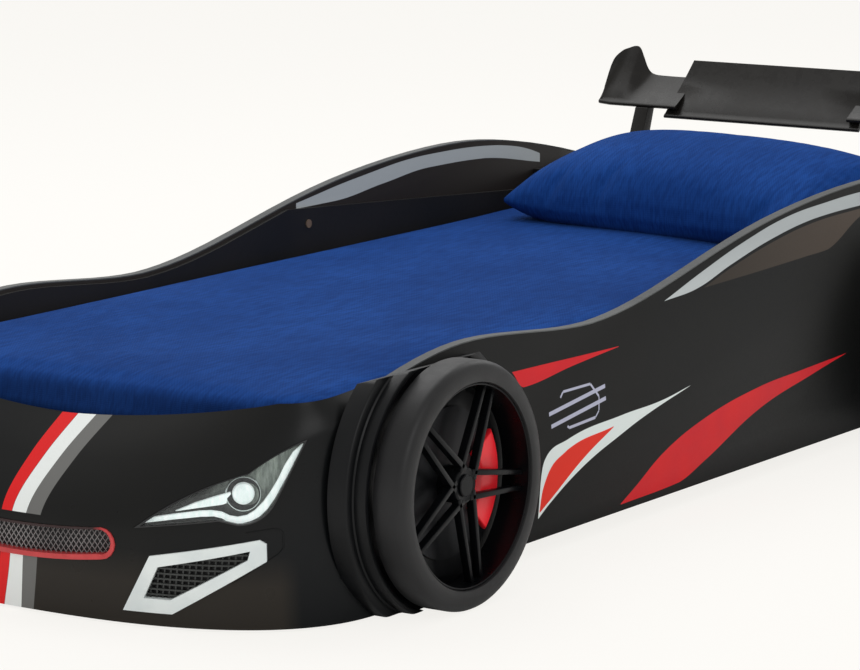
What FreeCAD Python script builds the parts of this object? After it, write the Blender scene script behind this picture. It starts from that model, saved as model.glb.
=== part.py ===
"""Race-car bed for a child: panels, slatted base, moulded nose, wheels, wing, mattress and pillow.

Millimetres. The floor is Z = 0, the nose points along -Y and the sleeper's head lies towards +Y.
The origin is on the floor, in the middle of the bed's length and width.
"""
import FreeCAD
import Part
import math
import os
from FreeCAD import Vector as V

# ---------------------------------------------------------------- driving sizes
INNER_WIDTH = 920.0         # between the two side panels
PANEL_T = 18.0              # side panels and cross boards
PANEL_BOTTOM = 28.0         # lower edge of the side panels above the floor
LINER_T = 8.0               # thin board on the inner face of each side panel
TRIM_T = 2.0                # grey edge band on top of a side panel
SEAT_GAP = 0.3              # clearance where one piece sits on another

MATTRESS_LENGTH = 2000.0
MATTRESS_PLAY = 6.0         # beside the mattress, to the liner
MATTRESS_T = 158.0          # thickness at its edge
MATTRESS_CROWN = 10.0       # how far its middle stands above that edge
MATTRESS_CORNER = 90.0
FOOT_PLAY = 8.0             # between the mattress and the front board
HEAD_PLAY = 4.0             # and the headboard

SLAT_TOP = 180.0            # height of the slatted base
SLAT_T = 15.0
SLAT_W = 80.0
SLAT_COUNT = 14
LEDGER_W = 30.0
LEDGER_H = 30.0
BEAM_W = 40.0
BEAM_H = 60.0
LEG_W = 40.0

NOSE_STEP = 12.0            # the moulded nose's foot stands this far outside the side panels
NOSE_DEPTH = 286.0          # how far it reaches ahead of its rear ends
NOSE_BULGE = 6.0            # how far its belt stands ahead of its foot
NOSE_ROUND = 2.5            # exponent of the outline at the foot: 2 is an ellipse
NOSE_WALL = 4.0
GRILLE_STAND = 2.5          # the grille's frame stands this far out of the nose
NOSE_FOOT = 4.0             # clearance under the nose
BELT_MID = 165.0            # height of the belt, where nose turns into hood, at the middle
BELT_SIDE = 290.0           # and at the sides
HOOD_EDGE_MID = 290.0       # height of the hood's rear edge in the middle
HOOD_EDGE_RISE = 50.0       # how much higher it is over the wheels
HOOD_EDGE_DEPTH = 174.0     # how far the opening for the mattress reaches into the nose
HOOD_EDGE_INSET = 7.0       # its sides stand this far inside the panels' inner faces
HOOD_ROUND = 5.0            # exponent of the opening's outline
HOOD_LEVEL = 53.0           # the hood's edge is level over this much at each side
HOOD_CLIMB = 0.07           # and climbs this steeply along the sides

TYRE_RADIUS = 193.0
TYRE_WIDTH = 57.0
CARRIER_LENGTH = 57.0       # from the side panel to the back of the tyre
TYRE_SHOULDER = 20.0
RIM_RADIUS = 159.0
RIM_WALL = 4.0
RIM_SETBACK = 7.0           # the rim's front edge lies this far inside the tyre's face
SPOKE_PAIRS = 5
SPOKE_TURN = 6.0            # degrees that the first pair stands above the rearward direction
SPOKE_RECESS = 15.0         # front of the spokes behind the face of the tyre
SPOKE_T = 14.0
HUB_RADIUS = 26.0
CAP_RADIUS = 17.0
CAP_T = 4.0
FRONT_AXLE = 90.0           # behind the rear ends of the nose
REAR_AXLE = 277.5           # ahead of the tail
CARRIER_RADIUS = 146.0      # round block that carries a wheel clear of the side panel
DISC_RADIUS = 118.0
DISC_T = 5.0
CALIPER_T = 12.0
CALIPER_IN, CALIPER_OUT = 70.0, 128.0
ARCH_STEPS = ((34.0, 225.0), (57.0, 207.0))   # reach and radius of an arch's two steps
ARCH_CLEARANCE = 4.0        # between tyre and arch

HEADBOARD_TOP = 400.0
TAIL_SPACE = 176.2          # from the headboard's front face to the rear face of the tail panel
TAIL_LIP = 6.0              # the tail panel stands this far above the rear deck
WING_OVERHANG = 22.0        # the wing's rear edge stands this far behind the tail panel

WING_HALF = 374.0
WING_CENTRE_HALF = 195.0
WING_CHORD_Y = 85.0         # run of the centre blade along Y
WING_FOOT_Z = 510.0
WING_TOP_Z = 615.0
WING_T = 12.0
WING_TIP_Z = 643.0
POST_X = 272.0
POST_W = 30.0
POST_FOOT_H = 8.0

PILLOW_LENGTH = 770.0
PILLOW_WIDTH = 430.0
PILLOW_T = 180.0
PILLOW_YAW = -8.0           # it lies a little askew
PILLOW_TILT = 11.0          # and leans on the headboard

# ---------------------------------------------------------------- places worked out from them
PANEL_IN = INNER_WIDTH / 2
PANEL_OUT = PANEL_IN + PANEL_T
LINER_IN = PANEL_IN - LINER_T
MATTRESS_HALF = LINER_IN - MATTRESS_PLAY
NOSE_HALF_WIDTH = PANEL_OUT + NOSE_STEP
HOOD_EDGE_HALF = PANEL_IN - HOOD_EDGE_INSET
NOSE_TO_BOARD = GRILLE_STAND + NOSE_BULGE + NOSE_DEPTH - HOOD_EDGE_DEPTH + SEAT_GAP
SLEEPING_LENGTH = PANEL_T + FOOT_PLAY + MATTRESS_LENGTH + HEAD_PLAY
HALF_LENGTH = (NOSE_TO_BOARD + SLEEPING_LENGTH + TAIL_SPACE + WING_OVERHANG) / 2
NOSE_Y = -HALF_LENGTH + GRILLE_STAND + NOSE_BULGE + NOSE_DEPTH
BOARD_FRONT_Y = NOSE_Y - HOOD_EDGE_DEPTH + SEAT_GAP
MATTRESS_FRONT_Y = BOARD_FRONT_Y + PANEL_T + FOOT_PLAY
MATTRESS_REAR_Y = MATTRESS_FRONT_Y + MATTRESS_LENGTH
HEADBOARD_Y = MATTRESS_REAR_Y + HEAD_PLAY
TAIL_Y = HEADBOARD_Y + TAIL_SPACE
PANEL_FRONT_Y = NOSE_Y - 70.0
WHEEL_Y = (NOSE_Y + FRONT_AXLE, TAIL_Y - REAR_AXLE)
SLAT_BOTTOM = SLAT_TOP - SLAT_T
TYRE_BACK = PANEL_OUT + CARRIER_LENGTH
TYRE_FACE = TYRE_BACK + TYRE_WIDTH
ARCH_REACH = ARCH_STEPS[-1][0]
DISC_FRONT = TYRE_BACK + DISC_T
SPOKE_FACE = TYRE_FACE - SPOKE_RECESS
HUB_FACE = SPOKE_FACE - 4.0
LEFT, RIGHT = 1, -1         # +X is the bed's left side


# ---------------------------------------------------------------- small helpers
def block(x0, x1, y0, y1, z0, z1):
    """A box between two corners."""
    return Part.makeBox(x1 - x0, y1 - y0, z1 - z0, V(x0, y0, z0))


def sin_cos(angle):
    """Sine and cosine of degrees, exact at the right angle."""
    return round(math.sin(math.radians(angle)), 12), round(math.cos(math.radians(angle)), 12)


def face_of(edges):
    return Part.Face(Part.Wire(Part.__sortEdges__(edges)))


def lines(points):
    return [Part.makeLine(a, b) for a, b in zip(points, points[1:])]


def arc(a, b, c):
    return Part.Arc(a, b, c).toShape()


def polygon(points):
    return Part.Face(Part.makePolygon(points + points[:1]))


def largest(shape):
    return max(shape.Solids, key=lambda solid: solid.Volume)


def spline(points):
    curve = Part.BSplineCurve()
    curve.interpolate(points)
    return curve.toShape()


def rod_x(radius, x0, x1, y, z):
    """A round bar along X."""
    return Part.makeCylinder(radius, abs(x1 - x0), V(min(x0, x1), y, z), V(1, 0, 0))


def mirrored(shape):
    return shape.mirror(V(0, 0, 0), V(1, 0, 0))


def on_side(shape, side):
    """The shape as built for the left side, or its mirror image for the right."""
    return shape if side == LEFT else mirrored(shape)


def save(name, solids):
    """Write one node as a STEP file, from one solid or several."""
    if not isinstance(solids, (list, tuple)):
        solids = [solids]
    parts = []
    for solid in solids:
        parts.extend(solid.Solids)
    shape = parts[0] if len(parts) == 1 else Part.makeCompound(parts)
    shape.exportStep("parts/%s.step" % name)
    print("%-28s %2d solid(s)  valid %s" % (name, len(parts), shape.isValid()))
    return shape


def panels_between(one, other):
    """Flat panels from one section's points to the next one's, two to each edge."""
    faces = []
    for a, b, c, d in zip(one, one[1:] + one[:1], other[1:] + other[:1], other):
        faces += [polygon([a, b, d]), polygon([b, c, d])]
    return faces


def panelled(sections):
    """A closed loft of flat panels through sections, alike on both sides of the middle one."""
    middle = len(sections) // 2
    faces = [polygon(sections[0]), polygon(sections[-1])]
    for one, other in zip(sections[:middle], sections[1:]):
        faces += panels_between(one, other)
    for one, other in zip(sections[:middle:-1], sections[-2::-1]):
        faces += panels_between(one, other)
    shell = Part.makeShell(faces)
    shell.sewShape()
    solid = Part.makeSolid(shell)
    if solid.Volume < 0:
        solid.reverse()
    return solid


# ---------------------------------------------------------------- side panels
CURVE_BASE = 1665.0         # the wheelbase on which the top edge is drawn, from the front axle
FENDER_CURVE = [(0.0, 366.0), (140.0, 382.0), (270.0, 376.0), (390.0, 364.0)]
WAIST = (510.0, 358.0)      # lowest place of the top edge, beside the sleeper's knees
HAUNCH_CURVE = [(670.0, 374.0), (850.0, 410.0), (1030.0, 445.0), (1210.0, 468.0),
                (1390.0, 480.0), (1530.0, 480.0), (1690.0, 464.0)]
FENDER_START_Z = 346.0
UNDER_NOSE_Z = 275.0        # the panel is lower where the nose covers it
TAIL_TOP_Z = 413.0
TAIL_KICK_Y = 70.0          # the lower rear corner is cut back
TAIL_KICK_Z = 82.0


def along_base(point):
    """A point drawn on the drawing's wheelbase, as (y, z) on this bed."""
    front, rear = WHEEL_Y
    return front + point[0] * (rear - front) / CURVE_BASE, point[1]


def top_edges(x, raise_by=0.0):
    """The panel's top edge in the plane X = x: a low fender and a long haunch."""
    fender = [(NOSE_Y + 1.0, FENDER_START_Z)] + [along_base(p) for p in FENDER_CURVE + [WAIST]]
    haunch = [along_base(p) for p in [WAIST] + HAUNCH_CURVE] + [(TAIL_Y, TAIL_TOP_Z)]
    return [spline([V(x, y, z + raise_by) for y, z in run]) for run in (fender, haunch)]


def side_panel():
    x = PANEL_IN
    edges = top_edges(x)
    start_y = NOSE_Y + 1.0
    rest = [V(x, TAIL_Y, TAIL_TOP_Z), V(x, TAIL_Y, PANEL_BOTTOM + TAIL_KICK_Z),
            V(x, TAIL_Y - TAIL_KICK_Y, PANEL_BOTTOM), V(x, PANEL_FRONT_Y, PANEL_BOTTOM),
            V(x, PANEL_FRONT_Y, UNDER_NOSE_Z), V(x, start_y, UNDER_NOSE_Z),
            V(x, start_y, FENDER_START_Z)]
    edges += [Part.makeLine(a, b) for a, b in zip(rest, rest[1:])]
    return face_of(edges).extrude(V(PANEL_T, 0, 0))


def edge_trim():
    """The grey band glued along the panel's top edge."""
    x = PANEL_IN
    low, high = top_edges(x), top_edges(x, TRIM_T)
    ends = [Part.makeLine(V(x, NOSE_Y + 1.0, FENDER_START_Z), V(x, NOSE_Y + 1.0, FENDER_START_Z + TRIM_T)),
            Part.makeLine(V(x, TAIL_Y, TAIL_TOP_Z), V(x, TAIL_Y, TAIL_TOP_Z + TRIM_T))]
    return face_of(low + high + ends).extrude(V(PANEL_T, 0, 0))


LINER_DROP = 6.0            # the liner stays this far below the panel's top edge
LINER_RIDGE = (880.0, 424.0)  # from here its top falls away in a straight line
LINER_HEAD_Z = 362.0
BOARD_BOTTOM = 60.0         # lower edge of the liners and cross boards


def liner():
    """Thin board inside the panel; its top follows the panel, then falls towards the head end."""
    ridge_y, ridge_z = along_base(LINER_RIDGE)
    front, rear, high = PANEL_FRONT_Y, HEADBOARD_Y - SEAT_GAP, 2 * ridge_z
    outline = [(front, BOARD_BOTTOM), (rear, BOARD_BOTTOM), (rear, LINER_HEAD_Z), (ridge_y, ridge_z),
               (ridge_y, high), (front, high)]
    shape = polygon([V(LINER_IN, y, z) for y, z in outline]).extrude(V(LINER_T, 0, 0))
    below = side_panel().translated(V(-PANEL_T / 2, 0, -LINER_DROP))
    below = below.fuse(block(LINER_IN - 1, PANEL_IN, front - 1, HEADBOARD_Y, PANEL_BOTTOM, SLAT_TOP))
    return shape.common(below)


# ---------------------------------------------------------------- moulded nose
NOSE_SECTIONS = 15


def nose_foot(angle, inset=0.0):
    """Outline of the nose at the floor; the angle runs from the middle (0) to a side (90)."""
    s, c = sin_cos(angle)
    power = 2.0 / NOSE_ROUND
    x = math.copysign((NOSE_HALF_WIDTH - inset) * abs(s) ** power, s)
    return V(x, NOSE_Y - (NOSE_DEPTH - inset) * abs(c) ** power, 0)


def hood_edge_z(x, y):
    level_from = HOOD_EDGE_HALF - HOOD_LEVEL
    rise = HOOD_EDGE_RISE * (min(abs(x), level_from) / level_from) ** 1.6
    return HOOD_EDGE_MID + rise + HOOD_CLIMB * max(0.0, y - NOSE_Y + HOOD_EDGE_DEPTH - 14.0)


def nose_top(angle):
    """Edge of the hood around the front of the mattress."""
    s, c = sin_cos(angle)
    power = 2.0 / HOOD_ROUND
    x = math.copysign(HOOD_EDGE_HALF * abs(s) ** power, s)
    y = NOSE_Y - HOOD_EDGE_DEPTH * abs(c) ** power
    return V(x, y, hood_edge_z(x, y))


def nose_profile(angle, inset=0.0):
    """Points up one section of the skin: foot, belly, belt, hood and the edge of the opening."""
    s, c = sin_cos(angle)
    outward = V(s, -c, 0)
    foot, top = nose_foot(angle, inset), nose_top(angle)
    belt = BELT_MID + (BELT_SIDE - BELT_MID) * abs(s) ** NOSE_ROUND
    halfway = V((foot.x + top.x) / 2, (foot.y + top.y) / 2, 0)
    edge = V(top.x, top.y, 0)
    heights = [(foot, 0.0, NOSE_FOOT), (foot, NOSE_BULGE, 0.62 * belt), (foot, 0.0, belt + 4.0),
               (halfway, NOSE_BULGE, belt + 0.55 * (top.z - belt) - 0.6 * inset),
               (edge, 0.0, top.z - inset)]
    return [base + outward * out + V(0, 0, z) for base, out, z in heights]


def nose_skin(outer, inner):
    """A shell that follows the nose between two offsets inward from its surface."""
    sections = []
    for i in range(NOSE_SECTIONS):
        angle = -90.0 + 180.0 * i / (NOSE_SECTIONS - 1)
        sections.append(nose_profile(angle, outer) + nose_profile(angle, inner)[::-1])
    return panelled(sections)


LOOK_BACK, LOOK_AHEAD = 200.0, 300.0   # how far the bars below run each way from their place


def looking_prism(points, angle, place, near=-LOOK_BACK):
    """A bar along the level direction at the angle from straight ahead, through a place in plan.

    The points of its outline are (u, z), u running to the bed's left from the place.
    """
    s, c = sin_cos(angle)
    across, ahead = V(c, s, 0), V(s, -c, 0)
    start = V(place[0], place[1], 0) + ahead * near
    return polygon([start + across * u + V(0, 0, z) for u, z in points]).extrude(ahead * (LOOK_AHEAD - near))


def outline_prism(edges, angle, place):
    """The same bar as looking_prism, from edges drawn with (u, z) in X and Y."""
    s, c = sin_cos(angle)
    x, y = place[0] - s * LOOK_BACK, place[1] + c * LOOK_BACK
    stand = FreeCAD.Matrix(c, 0, s, x, s, 0, -c, y, 0, 1, 0, 0, 0, 0, 0, 1)
    return face_of(edges).extrude(V(0, 0, LOOK_AHEAD + LOOK_BACK)).transformed(stand)


# ---------------------------------------------------------------- grille
GRILLE_SIDE = 300.0         # from the grille's end to the side of the nose
GRILLE_HALF = NOSE_HALF_WIDTH - GRILLE_SIDE
GRILLE_MID_Z = 115.0
GRILLE_MID_H = 53.0
GRILLE_END_RISE = 11.0      # the grille smiles: its ends sit higher than its middle
GRILLE_RIM_TOP = 4.0
GRILLE_RIM_LOW = 8.0
MESH_T = 2.5
MESH_PITCH_X = 24.0
MESH_PITCH_Z = 15.0
MESH_STRAND = 3.5
MESH_SETBACK = 14.0         # the mesh lies this far behind the tip of the nose
MESH_Y = -HALF_LENGTH + GRILLE_STAND + MESH_SETBACK
MESH_TUCK = 3.0             # how far the net reaches behind its frame
MESH_BORDER_X, MESH_BORDER_Z = 28.0, 14.0   # plain border around the diamonds
GRILLE_PLACE = (0.0, -HALF_LENGTH)


def grille_outline(low=0.0, top=0.0):
    """Edges of the grille opening, drawn in (u, z), drawn in by the two rims."""
    half = GRILLE_HALF - (low + top) / 2
    z_top, z_low = GRILLE_MID_Z + GRILLE_MID_H / 2 - top, GRILLE_MID_Z - GRILLE_MID_H / 2 + low
    shoulder = half - 0.45 * GRILLE_MID_H
    up, down = z_top + 0.7 * GRILLE_END_RISE, z_low + GRILLE_END_RISE
    mid = (up + down) / 2
    corners = [V(shoulder, up, 0), V(shoulder, down, 0), V(-shoulder, down, 0), V(-shoulder, up, 0)]
    return [arc(corners[3], V(0, z_top, 0), corners[0]), arc(corners[0], V(half, mid, 0), corners[1]),
            arc(corners[1], V(0, z_low, 0), corners[2]), arc(corners[2], V(-half, mid, 0), corners[3])]


def grille_surround():
    """Frame that stands out of the nose and ends just ahead of the net."""
    ring = outline_prism(grille_outline(SEAT_GAP, SEAT_GAP), 0, GRILLE_PLACE)
    ring = ring.cut(outline_prism(grille_outline(GRILLE_RIM_LOW, GRILLE_RIM_TOP), 0, GRILLE_PLACE))
    ahead_of_mesh = block(-GRILLE_HALF, GRILLE_HALF, -HALF_LENGTH - 1, MESH_Y - SEAT_GAP, 0, 300)
    return nose_skin(-GRILLE_STAND, 3 * MESH_SETBACK).common(ring).common(ahead_of_mesh)


def grille_mesh():
    """A flat net of diamonds behind the surround."""
    outline = grille_outline(GRILLE_RIM_LOW - MESH_TUCK, GRILLE_RIM_TOP - MESH_TUCK / 2)
    plate = outline_prism(outline, 0, GRILLE_PLACE)
    plate = plate.common(block(-GRILLE_HALF, GRILLE_HALF, MESH_Y, MESH_Y + MESH_T, 0, 300))
    half_x, half_z = (MESH_PITCH_X - MESH_STRAND * 1.6) / 2, (MESH_PITCH_Z - MESH_STRAND) / 2
    diamonds = []
    columns = int(GRILLE_HALF / MESH_PITCH_X) * 2
    for i in range(-columns, columns + 1):
        x = i * MESH_PITCH_X / 2
        mid_z = GRILLE_MID_Z + GRILLE_END_RISE * (0.2 + 0.8 * (x / GRILLE_HALF) ** 2)
        for j in range(-2, 3):
            z = mid_z + (j + (i % 2) / 2.0) * MESH_PITCH_Z
            if abs(x) < GRILLE_HALF - MESH_BORDER_X and abs(z - mid_z) < GRILLE_MID_H / 2 - MESH_BORDER_Z:
                pts = [V(x - half_x, MESH_Y - 1, z), V(x, MESH_Y - 1, z + half_z),
                       V(x + half_x, MESH_Y - 1, z), V(x, MESH_Y - 1, z - half_z)]
                diamonds.append(polygon(pts).extrude(V(0, MESH_T + 2, 0)))
    return plate.cut(Part.makeCompound(diamonds))


# ---------------------------------------------------------------- headlights
LAMP_ANGLE = 40.0           # the way a headlight looks, from straight ahead
LAMP_PLACE = (NOSE_HALF_WIDTH - 170.0, NOSE_Y - 136.1)   # its projector, in plan
LAMP_Z = 212.0
LAMP_DEPTH = 24.0
LAMP_HALF_H = 32.0          # least distance from the projector to the outline
BUCKET_WALL = 2.5
LENS_T = 2.5
LENS_GAP = 0.8              # between the lens and its housing
PROJECTOR_R = 20.0
LAMP_TIP, LAMP_BROW, LAMP_HORN = (-166.0, -59.0), (7.0, 32.0), (95.0, 80.0)
LAMP_OUTER, LAMP_KEEL, LAMP_CHIN = (46.0, -12.0), (-12.0, -47.0), (-40.0, -41.0)
STRIP_W = 9.0
STRIP_SETBACK = 6.0         # front of the light strips and lamps behind the lens
STRIP_PATH = [(80.0, 52.0), (38.0, -12.0), (16.0, -32.0), (-14.0, -38.0), (-40.0, -32.0)]


def lamp_outline(inset=0.0):
    """Edges of the almond-shaped headlight in (u, z), drawn in by at least the inset."""
    scale = 1.0 - inset / LAMP_HALF_H

    def at(p):
        return V(p[0] * scale, LAMP_Z + p[1] * scale, 0)
    return [arc(at(LAMP_TIP), at((-88.0, -7.0)), at(LAMP_BROW)),
            arc(at(LAMP_BROW), at((48.0, 59.0)), at(LAMP_HORN)),
            Part.makeLine(at(LAMP_HORN), at(LAMP_OUTER)),
            arc(at(LAMP_OUTER), at((22.0, -38.0)), at(LAMP_KEEL)),
            Part.makeLine(at(LAMP_KEEL), at(LAMP_CHIN)),
            Part.makeLine(at(LAMP_CHIN), at(LAMP_TIP))]


def lamp_prism(inset=0.0):
    return outline_prism(lamp_outline(inset), LAMP_ANGLE, LAMP_PLACE)


def headlight_lens():
    return nose_skin(0.0, LENS_T).common(lamp_prism(SEAT_GAP))


def headlight_housing():
    """A bucket behind the lens, open to the front."""
    body = nose_skin(LENS_T + LENS_GAP, LAMP_DEPTH).common(lamp_prism(SEAT_GAP))
    return body.cut(nose_skin(0.0, LAMP_DEPTH - BUCKET_WALL).common(lamp_prism(SEAT_GAP + BUCKET_WALL)))


def in_bucket():
    """The room for lamps on the back of the bucket."""
    return nose_skin(LENS_T + STRIP_SETBACK, LAMP_DEPTH - BUCKET_WALL - SEAT_GAP)


def light_strip():
    """The running light along the lower and outer edge, standing in the bucket."""
    outer = [V(u, LAMP_Z + z, 0) for u, z in STRIP_PATH]
    inner = [p + V(-STRIP_W, STRIP_W * 0.5, 0) for p in outer]
    band = outline_prism(lines(outer + inner[::-1] + outer[:1]), LAMP_ANGLE, LAMP_PLACE)
    return in_bucket().common(band).common(lamp_prism(BUCKET_WALL + 3 * SEAT_GAP))


def projector():
    """A round lamp standing on the back of the bucket."""
    s, c = sin_cos(LAMP_ANGLE)
    ahead = V(s, -c, 0)
    start = V(LAMP_PLACE[0], LAMP_PLACE[1], LAMP_Z) - ahead * LOOK_BACK
    return in_bucket().common(Part.makeCylinder(PROJECTOR_R, LOOK_BACK + LOOK_AHEAD, start, ahead))


# ---------------------------------------------------------------- fog lamps
FOG_ANGLE = 25.0
FOG_PLACE = (NOSE_HALF_WIDTH - 200.0, NOSE_Y - 215.1)
FOG_OUTER = [(-108.0, 25.0), (-62.0, 113.0), (108.0, 144.0), (118.0, 138.0), (118.0, 111.0), (-28.0, 25.0)]
FOG_INNER = [(-75.0, 46.0), (-50.0, 96.0), (88.0, 124.0), (84.0, 109.0), (-28.0, 46.0)]
FOG_STAND = 4.0             # the frame stands this far out of the skin
FOG_DEPTH = 16.0
LOUVRES = 5


def fog_prism(points):
    return looking_prism(points, FOG_ANGLE, FOG_PLACE)


def fog_surround():
    ring = fog_prism(FOG_OUTER).cut(fog_prism(FOG_INNER))
    return nose_skin(-FOG_STAND, FOG_DEPTH).common(ring)


def fog_mesh():
    """Dark insert with level slots, set back in its frame."""
    mid_u = sum(u for u, z in FOG_INNER) / len(FOG_INNER)
    mid_z = sum(z for u, z in FOG_INNER) / len(FOG_INNER)
    plate = [(mid_u + (u - mid_u) * 0.99, mid_z + (z - mid_z) * 0.985) for u, z in FOG_INNER]
    shape = nose_skin(FOG_DEPTH / 2, 0.75 * FOG_DEPTH).common(fog_prism(plate))
    low, high = min(z for u, z in plate), max(z for u, z in plate)
    left, right, slot_h = plate[0][0] + 13.0, plate[-1][0] - 4.0, 5.0
    slots = []
    for i in range(LOUVRES):
        up = 10.0 + i * (high - low - 34.0) / (LOUVRES - 1)
        u0, u1, z = left + 0.36 * up, right + 1.55 * up, low + up
        slots.append(fog_prism([(u0, z), (u0, z + slot_h), (u1, z + slot_h), (u1, z)]))
    return shape.cut(Part.makeCompound(slots))


# ---------------------------------------------------------------- wheels and arches
def turned(points, x0, y):
    """A ring turned about the axle from a profile of (along the axle, radius)."""
    face = polygon([V(x0 + a, y, TYRE_RADIUS + r) for a, r in points])
    return face.revolve(V(0, y, TYRE_RADIUS), V(1, 0, 0), 360)


def tyre(y):
    """Tread and walls, rounded at the outer shoulder."""
    w, r, k = TYRE_WIDTH, TYRE_RADIUS, TYRE_SHOULDER
    bore = RIM_RADIUS + SEAT_GAP
    return turned([(2, bore), (2, r), (w - k, r), (w - 0.35 * k, r - 0.35 * k), (w, r - k), (w, bore)],
                  TYRE_BACK, y)


def wheel_rim(y):
    """Barrel, five pairs of spokes and the hub, cast as one."""
    front, inner = TYRE_WIDTH - RIM_SETBACK, RIM_RADIUS - RIM_WALL
    shape = turned([(3, RIM_RADIUS), (front, RIM_RADIUS), (front, inner), (3, inner)], TYRE_BACK, y)
    hub = rod_x(HUB_RADIUS, DISC_FRONT, HUB_FACE, y, TYRE_RADIUS)
    shape = shape.fuse(hub)
    back = SPOKE_FACE - SPOKE_T - 2
    for k in range(SPOKE_PAIRS):
        for lean in (-1, 1):
            root, tip = 7.0 * lean, 23.0 * lean
            near, far = y + HUB_RADIUS - 8, y + inner + 0.5
            bar = polygon([V(back, near, TYRE_RADIUS + root - 5), V(back, far, TYRE_RADIUS + tip - 4),
                           V(back, far, TYRE_RADIUS + tip + 4), V(back, near, TYRE_RADIUS + root + 5)])
            bar = bar.extrude(V(SPOKE_T, 0, 0))
            bar.rotate(V(0, y, TYRE_RADIUS), V(1, 0, 0), SPOKE_TURN + 360.0 * k / SPOKE_PAIRS)
            shape = shape.fuse(bar)
    return shape.removeSplitter()


def centre_cap(y):
    """A low cap on the hub."""
    return rod_x(CAP_RADIUS, HUB_FACE, HUB_FACE + CAP_T, y, TYRE_RADIUS)


def wheel_carrier(y):
    return rod_x(CARRIER_RADIUS, PANEL_OUT, TYRE_BACK, y, TYRE_RADIUS)


def brake_disc(y):
    return rod_x(DISC_RADIUS, TYRE_BACK, TYRE_BACK + DISC_T, y, TYRE_RADIUS)


def brake_caliper(y):
    """Caliper on the rearward side of the disc."""
    ring = turned([(0, CALIPER_IN), (0, CALIPER_OUT), (CALIPER_T / 2, CALIPER_OUT + 2),
                   (CALIPER_T, CALIPER_OUT - 6), (CALIPER_T, CALIPER_IN + 8)], TYRE_BACK + DISC_T, y)
    x = TYRE_BACK
    r = TYRE_RADIUS
    wedge = polygon([V(x, y, r), V(x, y + r, 0.3 * r), V(x, y + r, 1.85 * r)])
    return ring.common(wedge.extrude(V(TYRE_WIDTH, 0, 0)))


def arch_steps(grow=0.0):
    """Outer form of a wheel arch about an axle at Y = 0, Z = 0: discs that get smaller outwards."""
    discs = [Part.makeCylinder(radius + grow, reach + grow, V(PANEL_OUT, 0, 0), V(1, 0, 0))
             for reach, radius in ARCH_STEPS]
    return discs[0].fuse(discs[1:])


ARCH_CUT_DROP = 2.0         # the front arch is cut this far under the start of the fender
ARCH_CUT_RISE = 34.0        # and the cut climbs this much to its lip


def wheel_arch(y):
    """Moulded arch between the panel and the tyre; the front one is cut level with the fender."""
    bore = rod_x(TYRE_RADIUS + ARCH_CLEARANCE, PANEL_OUT - 1, TYRE_FACE, 0, 0)
    shape = arch_steps().cut(bore).translated(V(0, y, TYRE_RADIUS))
    near, far, wide = PANEL_OUT - 1, PANEL_OUT + ARCH_REACH + 1, ARCH_STEPS[0][1] + 1
    shape = shape.cut(block(near, far, y - wide, y + wide, -wide, NOSE_FOOT))
    if y < 0:
        z, high = FENDER_CURVE[0][1] - ARCH_CUT_DROP, TYRE_RADIUS + wide
        outline = [(near, z), (far, z + ARCH_CUT_RISE), (far, high), (near, high)]
        above = polygon([V(x, y - wide, level) for x, level in outline])
        shape = shape.cut(above.extrude(V(0, 2 * wide, 0)))
    return shape


def front_clip():
    """The moulded nose: hood, bumper and both front corners in one skin."""
    shell = nose_skin(0.0, NOSE_WALL)
    cuts = [outline_prism(grille_outline(), 0, GRILLE_PLACE)]
    for side in (LEFT, RIGHT):
        cuts.append(on_side(lamp_prism(), side))
        cuts.append(on_side(fog_prism(FOG_OUTER), side))
        cuts.append(on_side(arch_steps(SEAT_GAP).translated(V(0, WHEEL_Y[0], TYRE_RADIUS)), side))
    return largest(shell.cut(cuts))


# ---------------------------------------------------------------- cross boards and base
BOARD_INSET = 72.0          # the front board's ends stand this far inside the side panels
BOARD_HALF = PANEL_IN - BOARD_INSET
CORNER_TOP = 150.0          # the corner boards stay under the headlights


def front_board():
    """Board behind the hood's edge; its top is hollowed like the hood and its ends pass under it."""
    y = BOARD_FRONT_Y
    z = HOOD_EDGE_MID - NOSE_WALL
    side_z = z + HOOD_EDGE_RISE
    a, b = V(-BOARD_HALF, y, BOARD_BOTTOM), V(BOARD_HALF, y, BOARD_BOTTOM)
    c, d = V(BOARD_HALF, y, side_z), V(-BOARD_HALF, y, side_z)
    board = face_of([arc(d, V(0, y, z), c)] + lines([d, a, b, c])).extrude(V(0, PANEL_T, 0))
    return largest(board.cut(nose_skin(-NOSE_WALL * 10, NOSE_WALL + SEAT_GAP)))


CORNER_FACE = [(BOARD_HALF + SEAT_GAP, BOARD_FRONT_Y), (PANEL_IN + 10.0, PANEL_FRONT_Y - SEAT_GAP)]


def corner_board():
    """Low board across a front corner, from the front board to the side panel."""
    (x0, y0), (x1, y1) = CORNER_FACE
    plan = [(x0, y0), (x1, y1), (x1 - PANEL_T, y1), (x0, y0 + PANEL_T)]
    return polygon([V(x, y, BOARD_BOTTOM) for x, y in plan]).extrude(V(0, 0, CORNER_TOP - BOARD_BOTTOM))


def cross_board(y0, y1, z0, z1):
    """A board from one side panel to the other."""
    half = PANEL_IN - SEAT_GAP
    return block(-half, half, y0, y1, z0, z1)


def headboard():
    return cross_board(HEADBOARD_Y, HEADBOARD_Y + PANEL_T, BOARD_BOTTOM, HEADBOARD_TOP)


def rear_deck():
    y0, y1 = HEADBOARD_Y + PANEL_T + SEAT_GAP, TAIL_Y - PANEL_T - SEAT_GAP
    return cross_board(y0, y1, HEADBOARD_TOP - PANEL_T, HEADBOARD_TOP)


def tail_panel():
    return cross_board(TAIL_Y - PANEL_T, TAIL_Y, PANEL_BOTTOM + TAIL_KICK_Z, HEADBOARD_TOP + TAIL_LIP)


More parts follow.
